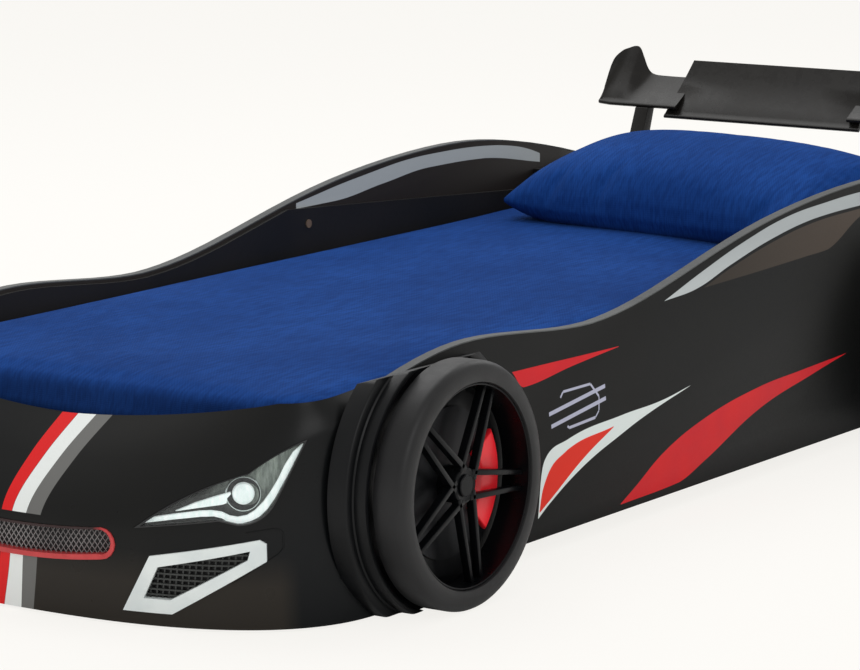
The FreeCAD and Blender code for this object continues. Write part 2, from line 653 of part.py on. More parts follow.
LEDGER_FRONT_Y = PANEL_FRONT_Y + 6.0
FOOT_SLAT_HALF = BOARD_HALF - 40.0   # the foot end's ledger and slat are this long to each side
FOOT_SLAT_W = 50.0
SLAT_PLAY = 4.0             # between the slats' ends and the liners


def slat_ledger():
    y0, y1 = LEDGER_FRONT_Y, HEADBOARD_Y - SEAT_GAP
    return block(LINER_IN - LEDGER_W, LINER_IN, y0, y1, SLAT_BOTTOM - LEDGER_H, SLAT_BOTTOM)


def front_ledger():
    y = BOARD_FRONT_Y + PANEL_T
    return block(-FOOT_SLAT_HALF, FOOT_SLAT_HALF, y, y + LEDGER_W, SLAT_BOTTOM - LEDGER_H, SLAT_BOTTOM)


def slats():
    first = LEDGER_FRONT_Y + 10.0
    last = HEADBOARD_Y - 20.0 - SLAT_W
    reach = LINER_IN - SLAT_PLAY
    step = (last - first) / (SLAT_COUNT - 1)
    rows = [block(-reach, reach, first + i * step, first + i * step + SLAT_W, SLAT_BOTTOM, SLAT_TOP)
            for i in range(SLAT_COUNT)]
    y = BOARD_FRONT_Y + PANEL_T + 2
    rows.append(block(-FOOT_SLAT_HALF, FOOT_SLAT_HALF, y, y + FOOT_SLAT_W, SLAT_BOTTOM, SLAT_TOP))
    return rows


def centre_beam():
    y0 = BOARD_FRONT_Y + PANEL_T + LEDGER_W + SEAT_GAP
    return block(-BEAM_W / 2, BEAM_W / 2, y0, HEADBOARD_Y - SEAT_GAP, SLAT_BOTTOM - BEAM_H, SLAT_BOTTOM)


LEG_SPACING = 650.0
LEG_MIDDLE = (MATTRESS_FRONT_Y + MATTRESS_REAR_Y) / 2 + 57.7
LEG_Y = (LEG_MIDDLE - LEG_SPACING, LEG_MIDDLE, LEG_MIDDLE + LEG_SPACING)
GLIDE_H = 6.0
GLIDE_RADIUS = 15.0


def centre_legs():
    top = SLAT_BOTTOM - BEAM_H
    return [block(-LEG_W / 2, LEG_W / 2, y - LEG_W / 2, y + LEG_W / 2, GLIDE_H, top) for y in LEG_Y]


FOOT_SPACING = 92.0         # to each side of an axle, out of sight behind the wheels
PANEL_FOOT_Y = [axle + way * FOOT_SPACING for axle in WHEEL_Y for way in (-1, 1)]
FOOT_LENGTH = 50.0


def feet():
    """Glides: blocks under the side panels, low round ones under the centre legs."""
    glides = []
    for y in PANEL_FOOT_Y:
        for side in (LEFT, RIGHT):
            foot = block(PANEL_IN, PANEL_OUT, y - FOOT_LENGTH / 2, y + FOOT_LENGTH / 2, 0, PANEL_BOTTOM)
            glides.append(on_side(foot, side))
    for y in LEG_Y:
        glides.append(Part.makeCylinder(GLIDE_RADIUS, GLIDE_H, V(0, y, 0)))
    return glides


BRACKET_W = 40.0
BRACKET_REACH = 60.0


def clip_brackets():
    """Blocks on the middle of the corner boards, square to them, to which the nose is screwed."""
    (x0, y0), (x1, y1) = CORNER_FACE
    angle = math.degrees(math.atan2(y1 - y0, x1 - x0))
    half, z = BRACKET_W / 2, BOARD_BOTTOM
    outline = [(-half, z), (half, z), (half, CORNER_TOP), (-half, CORNER_TOP)]
    piece = looking_prism(outline, angle, ((x0 + x1) / 2, (y0 + y1) / 2), 0.0)
    piece = piece.common(nose_skin(NOSE_WALL + SEAT_GAP, NOSE_WALL + BRACKET_REACH))
    return [on_side(largest(piece), side) for side in (LEFT, RIGHT)]


CAP_PLACE = (992.0, 387.0)
CAP_H = 2.0


def screw_cap():
    """Cover over the bolt that joins liner and panel."""
    y, z = along_base(CAP_PLACE)
    return rod_x(8.0, LINER_IN - CAP_H, LINER_IN, y, z)


# ---------------------------------------------------------------- rear wing
WING_END_FOOT_Z = WING_FOOT_Z + 18.0   # the end pieces start higher
WING_END_TOP_Z = 585.0
WING_END_CHORD_Y = 75.0
WING_Y = HALF_LENGTH - WING_CHORD_Y
WING_HORN = ((62.0, 29.0, 77.0), (40.0, 0.0, 84.0), (22.0, 7.0, 82.0))   # back from the tip, drop, chord


def blade(x, foot_z, top_z, chord, t):
    """Section of the wing across the bed: foot, top edge, and the under side."""
    return [V(x, WING_Y, foot_z), V(x, WING_Y + chord, top_z), V(x, WING_Y + chord, top_z - t * 1.2),
            V(x, WING_Y + t, foot_z - 2)]


def wing():
    """Tilted blade with lower end pieces whose tips curl up, moulded as one."""
    centre = polygon(blade(-WING_CENTRE_HALF, WING_FOOT_Z, WING_TOP_Z, WING_CHORD_Y, WING_T))
    centre = centre.extrude(V(2 * WING_CENTRE_HALF, 0, 0))
    stations = [(WING_CENTRE_HALF - 1, WING_END_TOP_Z, WING_END_CHORD_Y),
                (POST_X + POST_W / 2 + 2, WING_END_TOP_Z, WING_END_CHORD_Y)]
    stations += [(WING_HALF - back, WING_TIP_Z - drop, chord) for back, drop, chord in WING_HORN]
    sections = [blade(x, WING_END_FOOT_Z, top, chord, WING_T) for x, top, chord in stations]
    sections.append(blade(WING_HALF, WING_END_FOOT_Z + 2, WING_TIP_Z - 83.0, 30.0, WING_T / 2))
    end = panelled(sections)
    return centre.fuse([end, mirrored(end)]).removeSplitter()


def wing_post():
    """Raked upright between the rear deck and the under side of the wing's end piece."""
    y0, y1 = WING_Y - 52.0, WING_Y - 2.0
    z0, z1 = HEADBOARD_TOP, WING_END_FOOT_Z - 2 - SEAT_GAP
    under = (WING_END_TOP_Z - 1.2 * WING_T - WING_END_FOOT_Z + 2) / (WING_END_CHORD_Y - WING_T)
    x0, x1 = POST_X - POST_W / 2, POST_X + POST_W / 2
    stem = polygon([V(x0, y, z) for y, z in (
        (y0, z0 + POST_FOOT_H), (y0 + 36, z0 + POST_FOOT_H), (y1 + 30, z1 + under * (28 - WING_T)),
        (WING_Y + WING_T, z1), (y1, z1))])
    stem = stem.extrude(V(POST_W, 0, 0))
    foot = block(x0 - 12, x1 + 12, y0 - 14, y0 + 60, z0, z0 + POST_FOOT_H)
    return stem.fuse(foot).removeSplitter()


# ---------------------------------------------------------------- mattress and pillow
def rounded_rect(half_x, y0, y1, z, radius):
    r = radius
    x = half_x
    k = r * (1 - math.sqrt(0.5))
    return Part.Wire([
        Part.makeLine(V(-x + r, y0, z), V(x - r, y0, z)),
        arc(V(x - r, y0, z), V(x - k, y0 + k, z), V(x, y0 + r, z)),
        Part.makeLine(V(x, y0 + r, z), V(x, y1 - r, z)),
        arc(V(x, y1 - r, z), V(x - k, y1 - k, z), V(x - r, y1, z)),
        Part.makeLine(V(x - r, y1, z), V(-x + r, y1, z)),
        arc(V(-x + r, y1, z), V(-x + k, y1 - k, z), V(-x, y1 - r, z)),
        Part.makeLine(V(-x, y1 - r, z), V(-x, y0 + r, z)),
        arc(V(-x, y0 + r, z), V(-x + k, y0 + k, z), V(-x + r, y0, z))])


def mattress():
    """Foam block with soft shoulders and a crowned top."""
    z0 = SLAT_TOP + SEAT_GAP
    z1 = SLAT_TOP + MATTRESS_T
    levels = [(3, z0), (0, (z0 + z1) / 2), (9, z1 - 7), (22, z1), (160, z1 + MATTRESS_CROWN)]
    wires = [rounded_rect(MATTRESS_HALF - inset, MATTRESS_FRONT_Y + inset, MATTRESS_REAR_Y - inset, z,
                          MATTRESS_CORNER) for inset, z in levels]
    return Part.makeLoft(wires, True, True)


PILLOW_STATIONS = (-1.0, -0.93, -0.75, -0.4, 0.0, 0.4, 0.75, 0.93, 1.0)
PILLOW_EDGE = 6.0           # half its thickness at the ends
PILLOW_UPPER, PILLOW_LOWER = 1.15, 0.62   # share of the half thickness above and below the seam
PILLOW_X = 45.0
PILLOW_BACK = 195.0         # middle of the pillow ahead of the headboard
PILLOW_FACETS = 7
PILLOW_LIFT = 0.30          # its middle above the mattress, as a share of its thickness


def pillow_section(f):
    """Seam to seam over the top and back under, at a share of the half length."""
    half_t = PILLOW_EDGE + (PILLOW_T / 2 - PILLOW_EDGE) * (1 - abs(f) ** 2.6) ** 0.62
    half_w = PILLOW_WIDTH / 2 * (0.93 + 0.07 * abs(f) ** 3)
    points = []
    for height, way in ((PILLOW_UPPER, -1), (-PILLOW_LOWER, 1)):
        for i in range(PILLOW_FACETS):
            across, swell = way * math.cos(math.pi * i / PILLOW_FACETS), math.sin(math.pi * i / PILLOW_FACETS)
            points.append(V(f * PILLOW_LENGTH / 2, across * half_w, height * half_t * swell ** 2))
    return points


def pillow():
    """Crowned cushion with drawn-in sides; its under side is flattened on the mattress."""
    shape = panelled([pillow_section(f) for f in PILLOW_STATIONS])
    shape.rotate(V(0, 0, 0), V(1, 0, 0), PILLOW_TILT)
    shape.rotate(V(0, 0, 0), V(0, 0, 1), PILLOW_YAW)
    top = SLAT_TOP + MATTRESS_T + MATTRESS_CROWN
    shape.translate(V(PILLOW_X, HEADBOARD_Y - PILLOW_BACK, top + PILLOW_T * PILLOW_LIFT))
    half = PILLOW_LENGTH
    return shape.cut(block(-half, half, 0, HALF_LENGTH, top - PILLOW_T, top + SEAT_GAP))


# ---------------------------------------------------------------- build
def build():
    os.makedirs("parts", exist_ok=True)
    for side, word in ((LEFT, "left"), (RIGHT, "right")):
        for name, make in (("side_panel", side_panel), ("edge_trim", edge_trim), ("inner_liner", liner),
                           ("slat_ledger", slat_ledger), ("corner_board", corner_board),
                           ("wing_post", wing_post)):
            save(name + "_" + word, on_side(make(), side))
    sides = (LEFT, RIGHT)
    for name, make in (("headlight_lenses", headlight_lens), ("headlight_housings", headlight_housing),
                       ("light_strips", light_strip), ("projectors", projector),
                       ("fog_surrounds", fog_surround), ("fog_meshes", fog_mesh), ("screw_caps", screw_cap)):
        save(name, [on_side(make(), side) for side in sides])
    wheels = [(y, side) for y in WHEEL_Y for side in sides]
    for name, make in (("tyres", tyre), ("wheel_rims", wheel_rim), ("wheel_carriers", wheel_carrier),
                       ("brake_discs", brake_disc), ("brake_calipers", brake_caliper),
                       ("centre_caps", centre_cap), ("wheel_arches", wheel_arch)):
        save(name, [on_side(make(y), side) for y, side in wheels])
    for name, make in (("front_clip", front_clip), ("grille_surround", grille_surround),
                       ("grille_mesh", grille_mesh), ("clip_brackets", clip_brackets),
                       ("front_board", front_board), ("headboard", headboard), ("rear_deck", rear_deck),
                       ("tail_panel", tail_panel), ("front_ledger", front_ledger), ("slats", slats),
                       ("centre_beam", centre_beam), ("centre_legs", centre_legs), ("feet", feet),
                       ("wing", wing), ("mattress", mattress), ("pillow", pillow)):
        save(name, make())


build()
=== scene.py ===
"""The race-car bed as it looks: moulded nose, lamps, wheels, printed panels, bedding, floor and light.

Metres, in the bed's own frame: the nose points along -Y and the bed's left side is +X.
"""
import math

import bmesh
import bpy
from mathutils import Matrix, Vector


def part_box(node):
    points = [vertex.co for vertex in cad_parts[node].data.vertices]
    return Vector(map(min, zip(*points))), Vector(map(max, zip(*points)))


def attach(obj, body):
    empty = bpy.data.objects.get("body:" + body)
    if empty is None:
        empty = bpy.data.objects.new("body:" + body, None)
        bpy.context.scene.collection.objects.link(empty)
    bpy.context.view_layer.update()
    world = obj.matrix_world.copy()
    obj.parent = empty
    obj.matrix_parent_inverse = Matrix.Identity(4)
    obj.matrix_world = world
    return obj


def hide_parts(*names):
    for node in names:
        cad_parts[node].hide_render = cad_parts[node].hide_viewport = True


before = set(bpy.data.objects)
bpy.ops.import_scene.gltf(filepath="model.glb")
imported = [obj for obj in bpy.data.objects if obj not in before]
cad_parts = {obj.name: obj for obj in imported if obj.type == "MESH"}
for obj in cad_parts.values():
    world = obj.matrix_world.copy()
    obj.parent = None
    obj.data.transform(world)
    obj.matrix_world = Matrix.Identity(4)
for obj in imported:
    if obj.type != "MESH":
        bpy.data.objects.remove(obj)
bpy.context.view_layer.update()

# ---------------------------------------------------------------- sizes shared with the bed's construction
NOSE_Y = -0.880
NOSE_HALF, NOSE_DEPTH, NOSE_BULGE = 0.490, 0.286, 0.006
HOOD_HALF, HOOD_DEPTH = 0.453, 0.174
BELT_MID, BELT_RISE = 0.165, 0.125
PANEL_OUT = 0.478
AXLES = (-0.790, 0.875)
HUB_Z = 0.193
TYRE_BACK = 0.535
GRILLE_Z, GRILLE_HALF, GRILLE_RISE = 0.115, 0.190, 0.009
LAMP_PLACE, LAMP_ANGLE, LAMP_Z = (0.320, -1.0161), 40.0, 0.212
FOG_PLACE, FOG_ANGLE = (0.290, -1.0951), 25.0
FOG_FRAME = [(-.108, .025), (-.062, .113), (.108, .144), (.118, .138), (.118, .111), (-.028, .025)]
FOG_HOLE = [(-.073, .047), (-.049, .097), (.094, .127), (.090, .113), (-.030, .047)]
FOG_EDGE = [(-.024, .021), (.0165, .043), (.078, .083), (.1355, .122), (.1428, .131), (.1424, .1535), (.1385, .1588),
            (.129, .161), (.080, .154), (.019, .141), (-.070, .1165)]
UP = Vector((0, 0, 1))
SIDES = ((1, "left"), (-1, "right"))
PRINT_EDGE = 0.0007


# ---------------------------------------------------------------- paint: shader maths as expressions
class Paint:
    """A number, vector or colour over a surface. Arithmetic on it adds Math nodes."""

    def __init__(self, finish, socket):
        self.finish, self.socket = finish, socket

    def math(self, operation, *values):
        return self.finish.node("ShaderNodeMath", {"operation": operation}, values)

    def __add__(self, other):
        return self.math("ADD", self, other)

    def __sub__(self, other):
        return self.math("SUBTRACT", self, other)

    def __rsub__(self, other):
        return self.math("SUBTRACT", other, self)

    def __mul__(self, other):
        return self.math("MULTIPLY", self, other)

    __radd__, __rmul__ = __add__, __mul__

    def __abs__(self):
        return self.math("ABSOLUTE", self)

    def sine(self):
        return self.math("SINE", self)

    def least(self, other):
        return self.math("MINIMUM", self, other)

    def most(self, other):
        return self.math("MAXIMUM", self, other)

    def step(self, low, high):
        """0 below low, 1 above high, straight between them."""
        return self.finish.node("ShaderNodeMapRange", {"clamp": True}, {
            "Value": self, "From Min": low, "From Max": high, "To Min": 0.0, "To Max": 1.0})


class Finish:
    """A material with its nodes: a shader, and paint that feeds it."""

    def __init__(self, name, colour=(0.5, 0.5, 0.5), roughness=0.5, **fixed):
        self.material = bpy.data.materials.new(name)
        self.material.use_nodes = True
        self.tree = self.material.node_tree
        self.shader = self.tree.nodes["Principled BSDF"]
        self.feed("Base Color", (*colour, 1.0))
        self.feed("Roughness", roughness)
        for socket, value in fixed.items():
            self.feed(socket.replace("_", " "), value)

    def node(self, kind, settings=None, inputs=(), output=0):
        """Any other node: its settings first, then the values or links of its sockets."""
        made = self.tree.nodes.new(kind)
        for name, value in (settings or {}).items():
            if name == "points":
                curve = made.mapping.curves[0]
                for place, height in value[1:-1]:
                    curve.points.new(place, height)
                curve.points[0].location, curve.points[-1].location = value[0], value[-1]
                for point in curve.points:
                    point.handle_type = "AUTO_CLAMPED"
                made.mapping.update()
            else:
                setattr(made, name, value)
        items = inputs.items() if isinstance(inputs, dict) else enumerate(inputs)
        for key, value in items:
            self.join(made.inputs[key], value)
        return Paint(self, made.outputs[output])

    def join(self, socket, value):
        if isinstance(value, Paint):
            self.tree.links.new(value.socket, socket)
        else:
            socket.default_value = value

    def feed(self, socket, value):
        self.join(self.shader.inputs[socket], value)

    def place(self, kind="Object"):
        """X, Y and Z on the object."""
        spot = self.node("ShaderNodeTexCoord", output=kind)
        return [self.node("ShaderNodeSeparateXYZ", inputs=[spot], output=i) for i in range(3)]

    def facing(self):
        """X, Y and Z of the way the surface faces."""
        return self.place("Normal")

    def blended(self, share, one, other):
        """Shows shader one where the share is 0 and the other where it is 1."""
        both = self.node("ShaderNodeMixShader", inputs=[share, one, other])
        self.tree.links.new(both.socket, self.tree.nodes["Material Output"].inputs["Surface"])

    def cloud(self, size, detail=2.0, stretch=(1, 1, 1)):
        """Soft noise whose patches are about this size, in metres."""
        spot = self.node("ShaderNodeTexCoord", output="Object")
        spot = self.node("ShaderNodeMapping", inputs={"Vector": spot, "Scale": stretch})
        return self.node("ShaderNodeTexNoise", inputs={"Vector": spot, "Scale": 1.0 / size, "Detail": detail})

    def mix(self, share, one, other):
        """Colour one where the share is 0 and the other where it is 1."""
        one, other = (c if isinstance(c, Paint) else (*c, 1.0) for c in (one, other))
        return self.node("ShaderNodeMix", {"data_type": "RGBA"}, {0: share, 6: one, 7: other}, output=2)

    def bump(self, height, distance, strength=1.0):
        normal = self.node("ShaderNodeBump", inputs={"Height": height, "Distance": distance, "Strength": strength})
        self.feed("Normal", normal)

    def line_of(self, along, points):
        """A smooth line through the points, as a height at each place along it."""
        (first, last), top = (points[0][0], points[-1][0]), 0.7
        share = along.step(first, last)
        marks = [((a - first) / (last - first), height / top) for a, height in points]
        return self.node("ShaderNodeFloatCurve", {"points": marks}, {"Factor": 1.0, "Value": share}) * top

    def strip(self, along, height, lower, upper):
        """1 between two lines, drawn from the lower line's ends to the upper's."""
        first, last = max(lower[0][0], upper[0][0]), min(lower[-1][0], upper[-1][0])
        inside = (height - self.line_of(along, lower)).step(0.0, PRINT_EDGE)
        inside = inside * (self.line_of(along, upper) - height).step(0.0, PRINT_EDGE)
        return inside * along.step(first, first + PRINT_EDGE) * (last - along).step(0.0, PRINT_EDGE)

    def bar(self, along, height, start, end, thick):
        """A straight bar between two points."""
        run, rise = end[0] - start[0], end[1] - start[1]
        length = math.hypot(run, rise)
        middle = (start[0] + end[0]) / 2, (start[1] + end[1]) / 2
        away = abs((along - start[0]) * (-rise / length) + (height - start[1]) * (run / length))
        past = abs((along - middle[0]) * (run / length) + (height - middle[1]) * (rise / length))
        return (thick / 2 - away).step(0.0, PRINT_EDGE) * (length / 2 - past).step(0.0, PRINT_EDGE)


def shade(r, g, b):
    """Colour as a screen shows it, 0 to 255, turned to light."""
    return tuple((c / 255 / 12.92) if c < 10 else ((c / 255 + 0.055) / 1.055) ** 2.4 for c in (r, g, b))


# ---------------------------------------------------------------- finishes
def laminate_print():
    """Dark laminate of the side panels with the printed stripes."""
    f = Finish("side_print", roughness=0.38, Specular_IOR_Level=0.14)
    x, y, z = f.place()
    face = f.facing()[0]
    outer = (x * face).step(0.0, 0.01)
    board = f.mix(f.cloud(0.5).step(0.35, 0.65), shade(12, 14, 15), shade(15, 15, 14))
    board = f.mix(outer, shade(36, 32, 30), board)
    silver = f.mix((z - 0.18).step(0.0, 0.25), shade(226, 232, 232), shade(170, 176, 178))
    red = f.mix(f.cloud(0.12).step(0.3, 0.7), shade(214, 30, 34), shade(200, 28, 40))

    # each stripe's lower line, then its upper line, as (y, z)
    arc, glass, dart, wedge, heart, sweep = (f.strip(y, z, lower, upper) * outer for lower, upper in (
        ([(-.054, .3625), (.052, .369), (.167, .395), (.310, .422), (.455, .438), (.625, .441), (.850, .432),
          (1.110, .396)],
         [(-.054, .3635), (.075, .398), (.213, .430), (.357, .454), (.506, .463), (.625, .466), (.850, .458),
          (1.110, .400)]),
        ([(.075, .367), (.262, .370), (.435, .374), (.508, .376), (.626, .421), (.700, .437)],
         [(.075, .368), (.167, .390), (.310, .416), (.455, .432), (.625, .436), (.700, .437)]),
        ([(-.517, .315), (-.481, .285), (-.340, .297), (-.198, .307)],
         [(-.517, .3155), (-.400, .313), (-.300, .3105), (-.198, .3085)]),
        ([(-.442, .062), (-.410, .080), (-.306, .125), (-.187, .159), (-.118, .176), (.032, .2045)],
         [(-.442, .064), (-.423, .155), (-.351, .179), (-.187, .191), (-.060, .195), (.032, .2055)]),
        ([(-.438, .071), (-.400, .090), (-.306, .138), (-.213, .1745)],
         [(-.438, .074), (-.427, .110), (-.356, .161), (-.213, .1765)]),
        ([(-.191, .039), (-.002, .043), (.079, .065), (.266, .125), (.462, .158), (.580, .1755)],
         [(-.191, .041), (-.144, .062), (-.057, .103), (.078, .140), (.265, .165), (.411, .171), (.580, .1765)])))

    louvre = f.bar(y, z, (-.4094, .2286), (-.2399, .2486), .0075)
    for start, end, thick in (((-.4026, .2073), (-.2373, .2276), .0075), ((-.3756, .2503), (-.3678, .2592), .0045),
                              ((-.3678, .2592), (-.2855, .2590), .0050), ((-.2855, .2590), (-.2589, .2341), .0045),
                              ((-.2588, .2341), (-.2588, .2105), .0035), ((-.2588, .2105), (-.2695, .2006), .0035),
                              ((-.2695, .2006), (-.3493, .1967), .0055), ((-.3493, .1967), (-.3544, .2005), .0045)):
        louvre = louvre.most(f.bar(y, z, start, end, thick))
    louvre = louvre * outer

    far_low = [(.175, .417), (.291, .417), (.457, .432), (.612, .445), (.803, .441), (1.002, .411)]
    far_high = [(.175, .428), (.367, .453), (.612, .471), (.852, .462), (1.000, .430), (1.002, .429)]
    far = f.strip(y, z, far_low, far_high) * (1 - outer)

    colour = f.mix(glass, board, f.mix((y - 0.1).step(0.0, 0.6), shade(50, 44, 38), shade(76, 66, 58)))
    for mask, paint in ((arc, silver), (far, silver), (dart, red), (wedge, shade(222, 230, 228)),
                        (heart, shade(222, 48, 32)), (sweep, red), (louvre, shade(178, 180, 200))):
        colour = f.mix(mask, colour, paint)
    f.feed("Base Color", colour)
    f.feed("Roughness", f.cloud(0.004).step(0.2, 0.8) * 0.10 + 0.33)
    f.bump(f.cloud(0.0012, 3.0), 0.00006)
    return f


def plain_board(name, light, dark, roughness=0.45):
    """Faced board: a fine pebbled face and a slight change of tone."""
    f = Finish(name, roughness=roughness, Specular_IOR_Level=0.2)
    f.feed("Base Color", f.mix(f.cloud(0.3, 3.0).step(0.35, 0.65), dark, light))
    f.feed("Roughness", f.cloud(0.01).step(0.2, 0.8) * 0.12 + (roughness - 0.06))
    f.bump(f.cloud(0.0015, 3.0), 0.00008)
    return f


def pine_wood():
    """Planed pine of the slatted base, with its grain along the slats."""
    f = Finish("planed_pine", roughness=0.6)
    grain = f.cloud(0.012, 5.0, (0.06, 1.0, 1.0))
    rings = (f.cloud(0.05, 2.0, (0.08, 1.0, 1.0)) * 46.0).sine().step(-1.0, 1.0)
    f.feed("Base Color", f.mix(rings * 0.6 + grain * 0.4, shade(222, 190, 140), shade(190, 148, 98)))
    f.bump(grain, 0.0002)
    return f


def hood_lacquer():
    """Black gloss plastic of the nose with its red, white and grey stripes, and a painted warm reflection lightening
    its lower bumper.
    """
    f = Finish("nose_lacquer", roughness=0.3, Specular_IOR_Level=0.18)
    x, y, z = f.place()
    edges = [[(.0, -.055), (.087, -.029), (.153, -.025), (.240, -.010), (.300, .005)],
             [(.0, -.029), (.087, -.009), (.153, -.004), (.240, .018), (.300, .037)],
             [(.0, .006), (.087, .017), (.153, .024), (.240, .050), (.300, .073)],
             [(.0, .030), (.087, .045), (.153, .052), (.240, .080), (.300, .104)]]
    lift = 0.1
    lines = [f.line_of(z, [(a, b + lift) for a, b in run]) - lift for run in edges]
    red, white, grey = ((x - a).step(0.0, 0.0006) * (b - x).step(0.0, 0.0006) for a, b in zip(lines, lines[1:]))
    colour = f.mix(f.cloud(0.6).step(0.4, 0.6), shade(13, 15, 17), shade(18, 18, 17))
    # painted reflection: the bumper below about 0.12 m, inboard of the corners, is lightened to a warm brown
    low = (0.120 - z).step(0.0, 0.05) * (0.445 - x).step(0.0, 0.02)
    colour = f.mix(low, colour, shade(42, 38, 33))
    broken = (z - 0.1545).step(0.0, 0.0006).most((0.110 - z).step(0.0, 0.0006))
    for mask, paint in ((red, shade(226, 32, 34)), (white, shade(240, 244, 242)), (grey, shade(112, 112, 110))):
        colour = f.mix(mask * broken, colour, paint)
    f.feed("Base Color", colour)
    f.feed("Roughness", f.cloud(0.05, 3.0).step(0.3, 0.7) * 0.07 + 0.27)
    f.bump(f.cloud(0.012, 2.0), 0.00005)
    return f


def moulded(name, light, dark, roughness, grain=0.0015, depth=0.00006, **fixed):
    """Moulded plastic or cast metal: two near tones, a fine grain and a change of gloss."""
    f = Finish(name, roughness=roughness, **fixed)
    f.feed("Base Color", f.mix(f.cloud(0.08, 3.0).step(0.35, 0.65), dark, light))
    f.feed("Roughness", f.cloud(0.02, 3.0).step(0.3, 0.7) * 0.08 + (roughness - 0.04))
    f.bump(f.cloud(grain, 3.0), depth)
    return f


def brake_steel():
    """Turned steel of the brake discs: fine rings about each axle."""
    f = Finish("turned_steel", roughness=0.35, Metallic=0.8)
    x, y, z = f.place()
    along = abs(y - AXLES[0]).least(abs(y - AXLES[1]))
    radius = f.node("ShaderNodeMath", {"operation": "SQRT"}, [along * along + (z - HUB_Z) * (z - HUB_Z)])
    rings = (radius * 5200.0).sine().step(-1.0, 1.0)
    f.feed("Base Color", f.mix(rings, shade(30, 31, 33), shade(40, 41, 44)))
    f.bump(rings, 0.00008)
    return f


def bed_cotton():
    """Blue cotton of the sheet and the pillow case, finely ribbed, with a little sheen, and painted shade darkening
    the mattress's front face.
    """
    f = Finish("blue_cotton", roughness=0.9, Sheen_Weight=0.04, Sheen_Roughness=0.5,
               Sheen_Tint=(0.3, 0.55, 1.0, 1.0), Specular_IOR_Level=0.03)
    x, y, z = f.place()
    slub = f.cloud(0.012, 4.0, (2.2, 0.30, 0.5))
    ribs = ((x * 0.82 + y * 0.57) * 1500.0).sine().step(-1.0, 1.0)
    weave = (y * 1700.0 + z * 1700.0).sine().step(-1.0, 1.0)
    tone = f.cloud(0.22, 3.0).step(0.3, 0.7)
    blue = f.mix(tone, shade(20, 57, 122), shade(28, 70, 142))
    blue = f.mix((1 - slub.step(0.38, 0.62)) * 0.45 + ribs * 0.16, blue, shade(12, 40, 94))
    # painted shade: the mattress's front face at its foot end, facing -Y, is darkened towards navy as if in shadow
    foot = (0 - f.facing()[1]).step(0.35, 0.95) * (0.40 - z).step(0.04, 0.06) * (0 - y).step(0.9, 1.0)
    blue = f.mix(foot * 0.45, blue, shade(16, 26, 52))
    f.feed("Base Color", blue)
    f.bump(slub * 0.6 + ribs * 0.3 + weave * 0.2 + f.cloud(0.09, 2.0) * 2.0, 0.0006, 0.7)
    return f


def clear_lens():
    """Thin clear cover of a headlight."""
    f = Finish("clear_cover", (1.0, 1.0, 1.0), 0.03, IOR=1.25, Specular_IOR_Level=0.5)
    see = f.node("ShaderNodeBsdfTransparent", inputs=[(0.96, 0.98, 0.98, 1.0)])
    edge = f.node("ShaderNodeLayerWeight", inputs={"Blend": 0.2}, output="Facing")
    f.blended(edge.step(0.3, 1.0) * 0.25 + 0.03, see, Paint(f, f.shader.outputs[0]))
    f.bump(f.cloud(0.02), 0.00004)
    return f


def lamp_glow():
    """Milky light guide, a little brighter than white paper."""
    f = Finish("light_guide", shade(236, 240, 238), 0.3, Emission_Strength=0.35)
    streak = f.cloud(0.006, 2.0, (1.0, 1.0, 0.25)).step(0.3, 0.7)
    f.feed("Base Color", f.mix(streak, shade(225, 232, 230), shade(245, 247, 245)))
    f.feed("Emission Color", f.mix(streak, shade(215, 228, 226), shade(255, 255, 255)))
    return f


def grille_paint():
    """Red of the grille's frame, with painted shade darkening it along its upper rim."""
    f = Finish("grille_red", roughness=0.35, Specular_IOR_Level=0.3)
    x, y, z = f.place()
    # painted shade: the frame's upper rim is darkened to a dull dark red as if shadowed
    painted_rim_shade = (z - GRILLE_Z - x * x * 0.25).step(0.011, 0.023) * (0.172 - abs(x)).step(0.0, 0.02)
    red = f.mix(f.cloud(0.03, 3.0).step(0.3, 0.7), shade(186, 58, 60), shade(210, 74, 76))
    f.feed("Base Color", f.mix(painted_rim_shade, red, shade(52, 34, 34)))
    f.feed("Roughness", f.cloud(0.01, 3.0) * 0.1 + 0.3)
    f.bump(f.cloud(0.003, 3.0), 0.0002)
    return f


def lamp_bucket():
    """Reflector of a headlight: dark inboard, silver with fine streaks outboard."""
    f = Finish("lamp_bucket", roughness=0.3, Metallic=0.3)
    x, y, z = f.place()
    streak = f.cloud(0.010, 3.0, (2.0, 2.0, 0.4)).step(0.3, 0.7)
    share = ((abs(x) - 0.30) * 3.0 + (z - 0.20) * 7.0).step(0.0, 0.55)
    inboard = f.mix(streak, shade(22, 25, 24), shade(46, 50, 46))
    outboard = f.mix(streak, shade(96, 104, 98), shade(168, 176, 166))
    f.feed("Base Color", f.mix(share, inboard, outboard))
    f.bump(streak, 0.0004)
    return f


PRINT = laminate_print()
LACQUER = hood_lacquer()
EDGE_BAND = plain_board("grey_edge_band", shade(92, 94, 94), shade(74, 76, 77), 0.5)
BOARD = plain_board("dark_board", shade(36, 34, 32), shade(27, 27, 27))
PINE = pine_wood()
SATIN = moulded("satin_black", shade(12, 13, 15), shade(7, 8, 10), 0.36, Specular_IOR_Level=0.22)
TYRE = moulded("tyre_black", shade(33, 33, 34), shade(26, 26, 27), 0.45, 0.003, 0.00015, Specular_IOR_Level=0.3)
RIM = moulded("rim_black", shade(9, 10, 12), shade(5, 6, 8), 0.3, Specular_IOR_Level=0.14)
STEEL = brake_steel()
CALIPER = moulded("caliper_red", shade(246, 36, 48), shade(222, 26, 38), 0.32)
GRILLE_RED = grille_paint()
PIANO = moulded("lamp_rim_black", shade(20, 21, 23), shade(12, 13, 15), 0.14, Specular_IOR_Level=0.6)
NET_GREY = moulded("net_grey", shade(150, 146, 146), shade(118, 114, 114), 0.45)
NET_DARK = moulded("net_dark", shade(54, 56, 54), shade(38, 40, 39), 0.45)
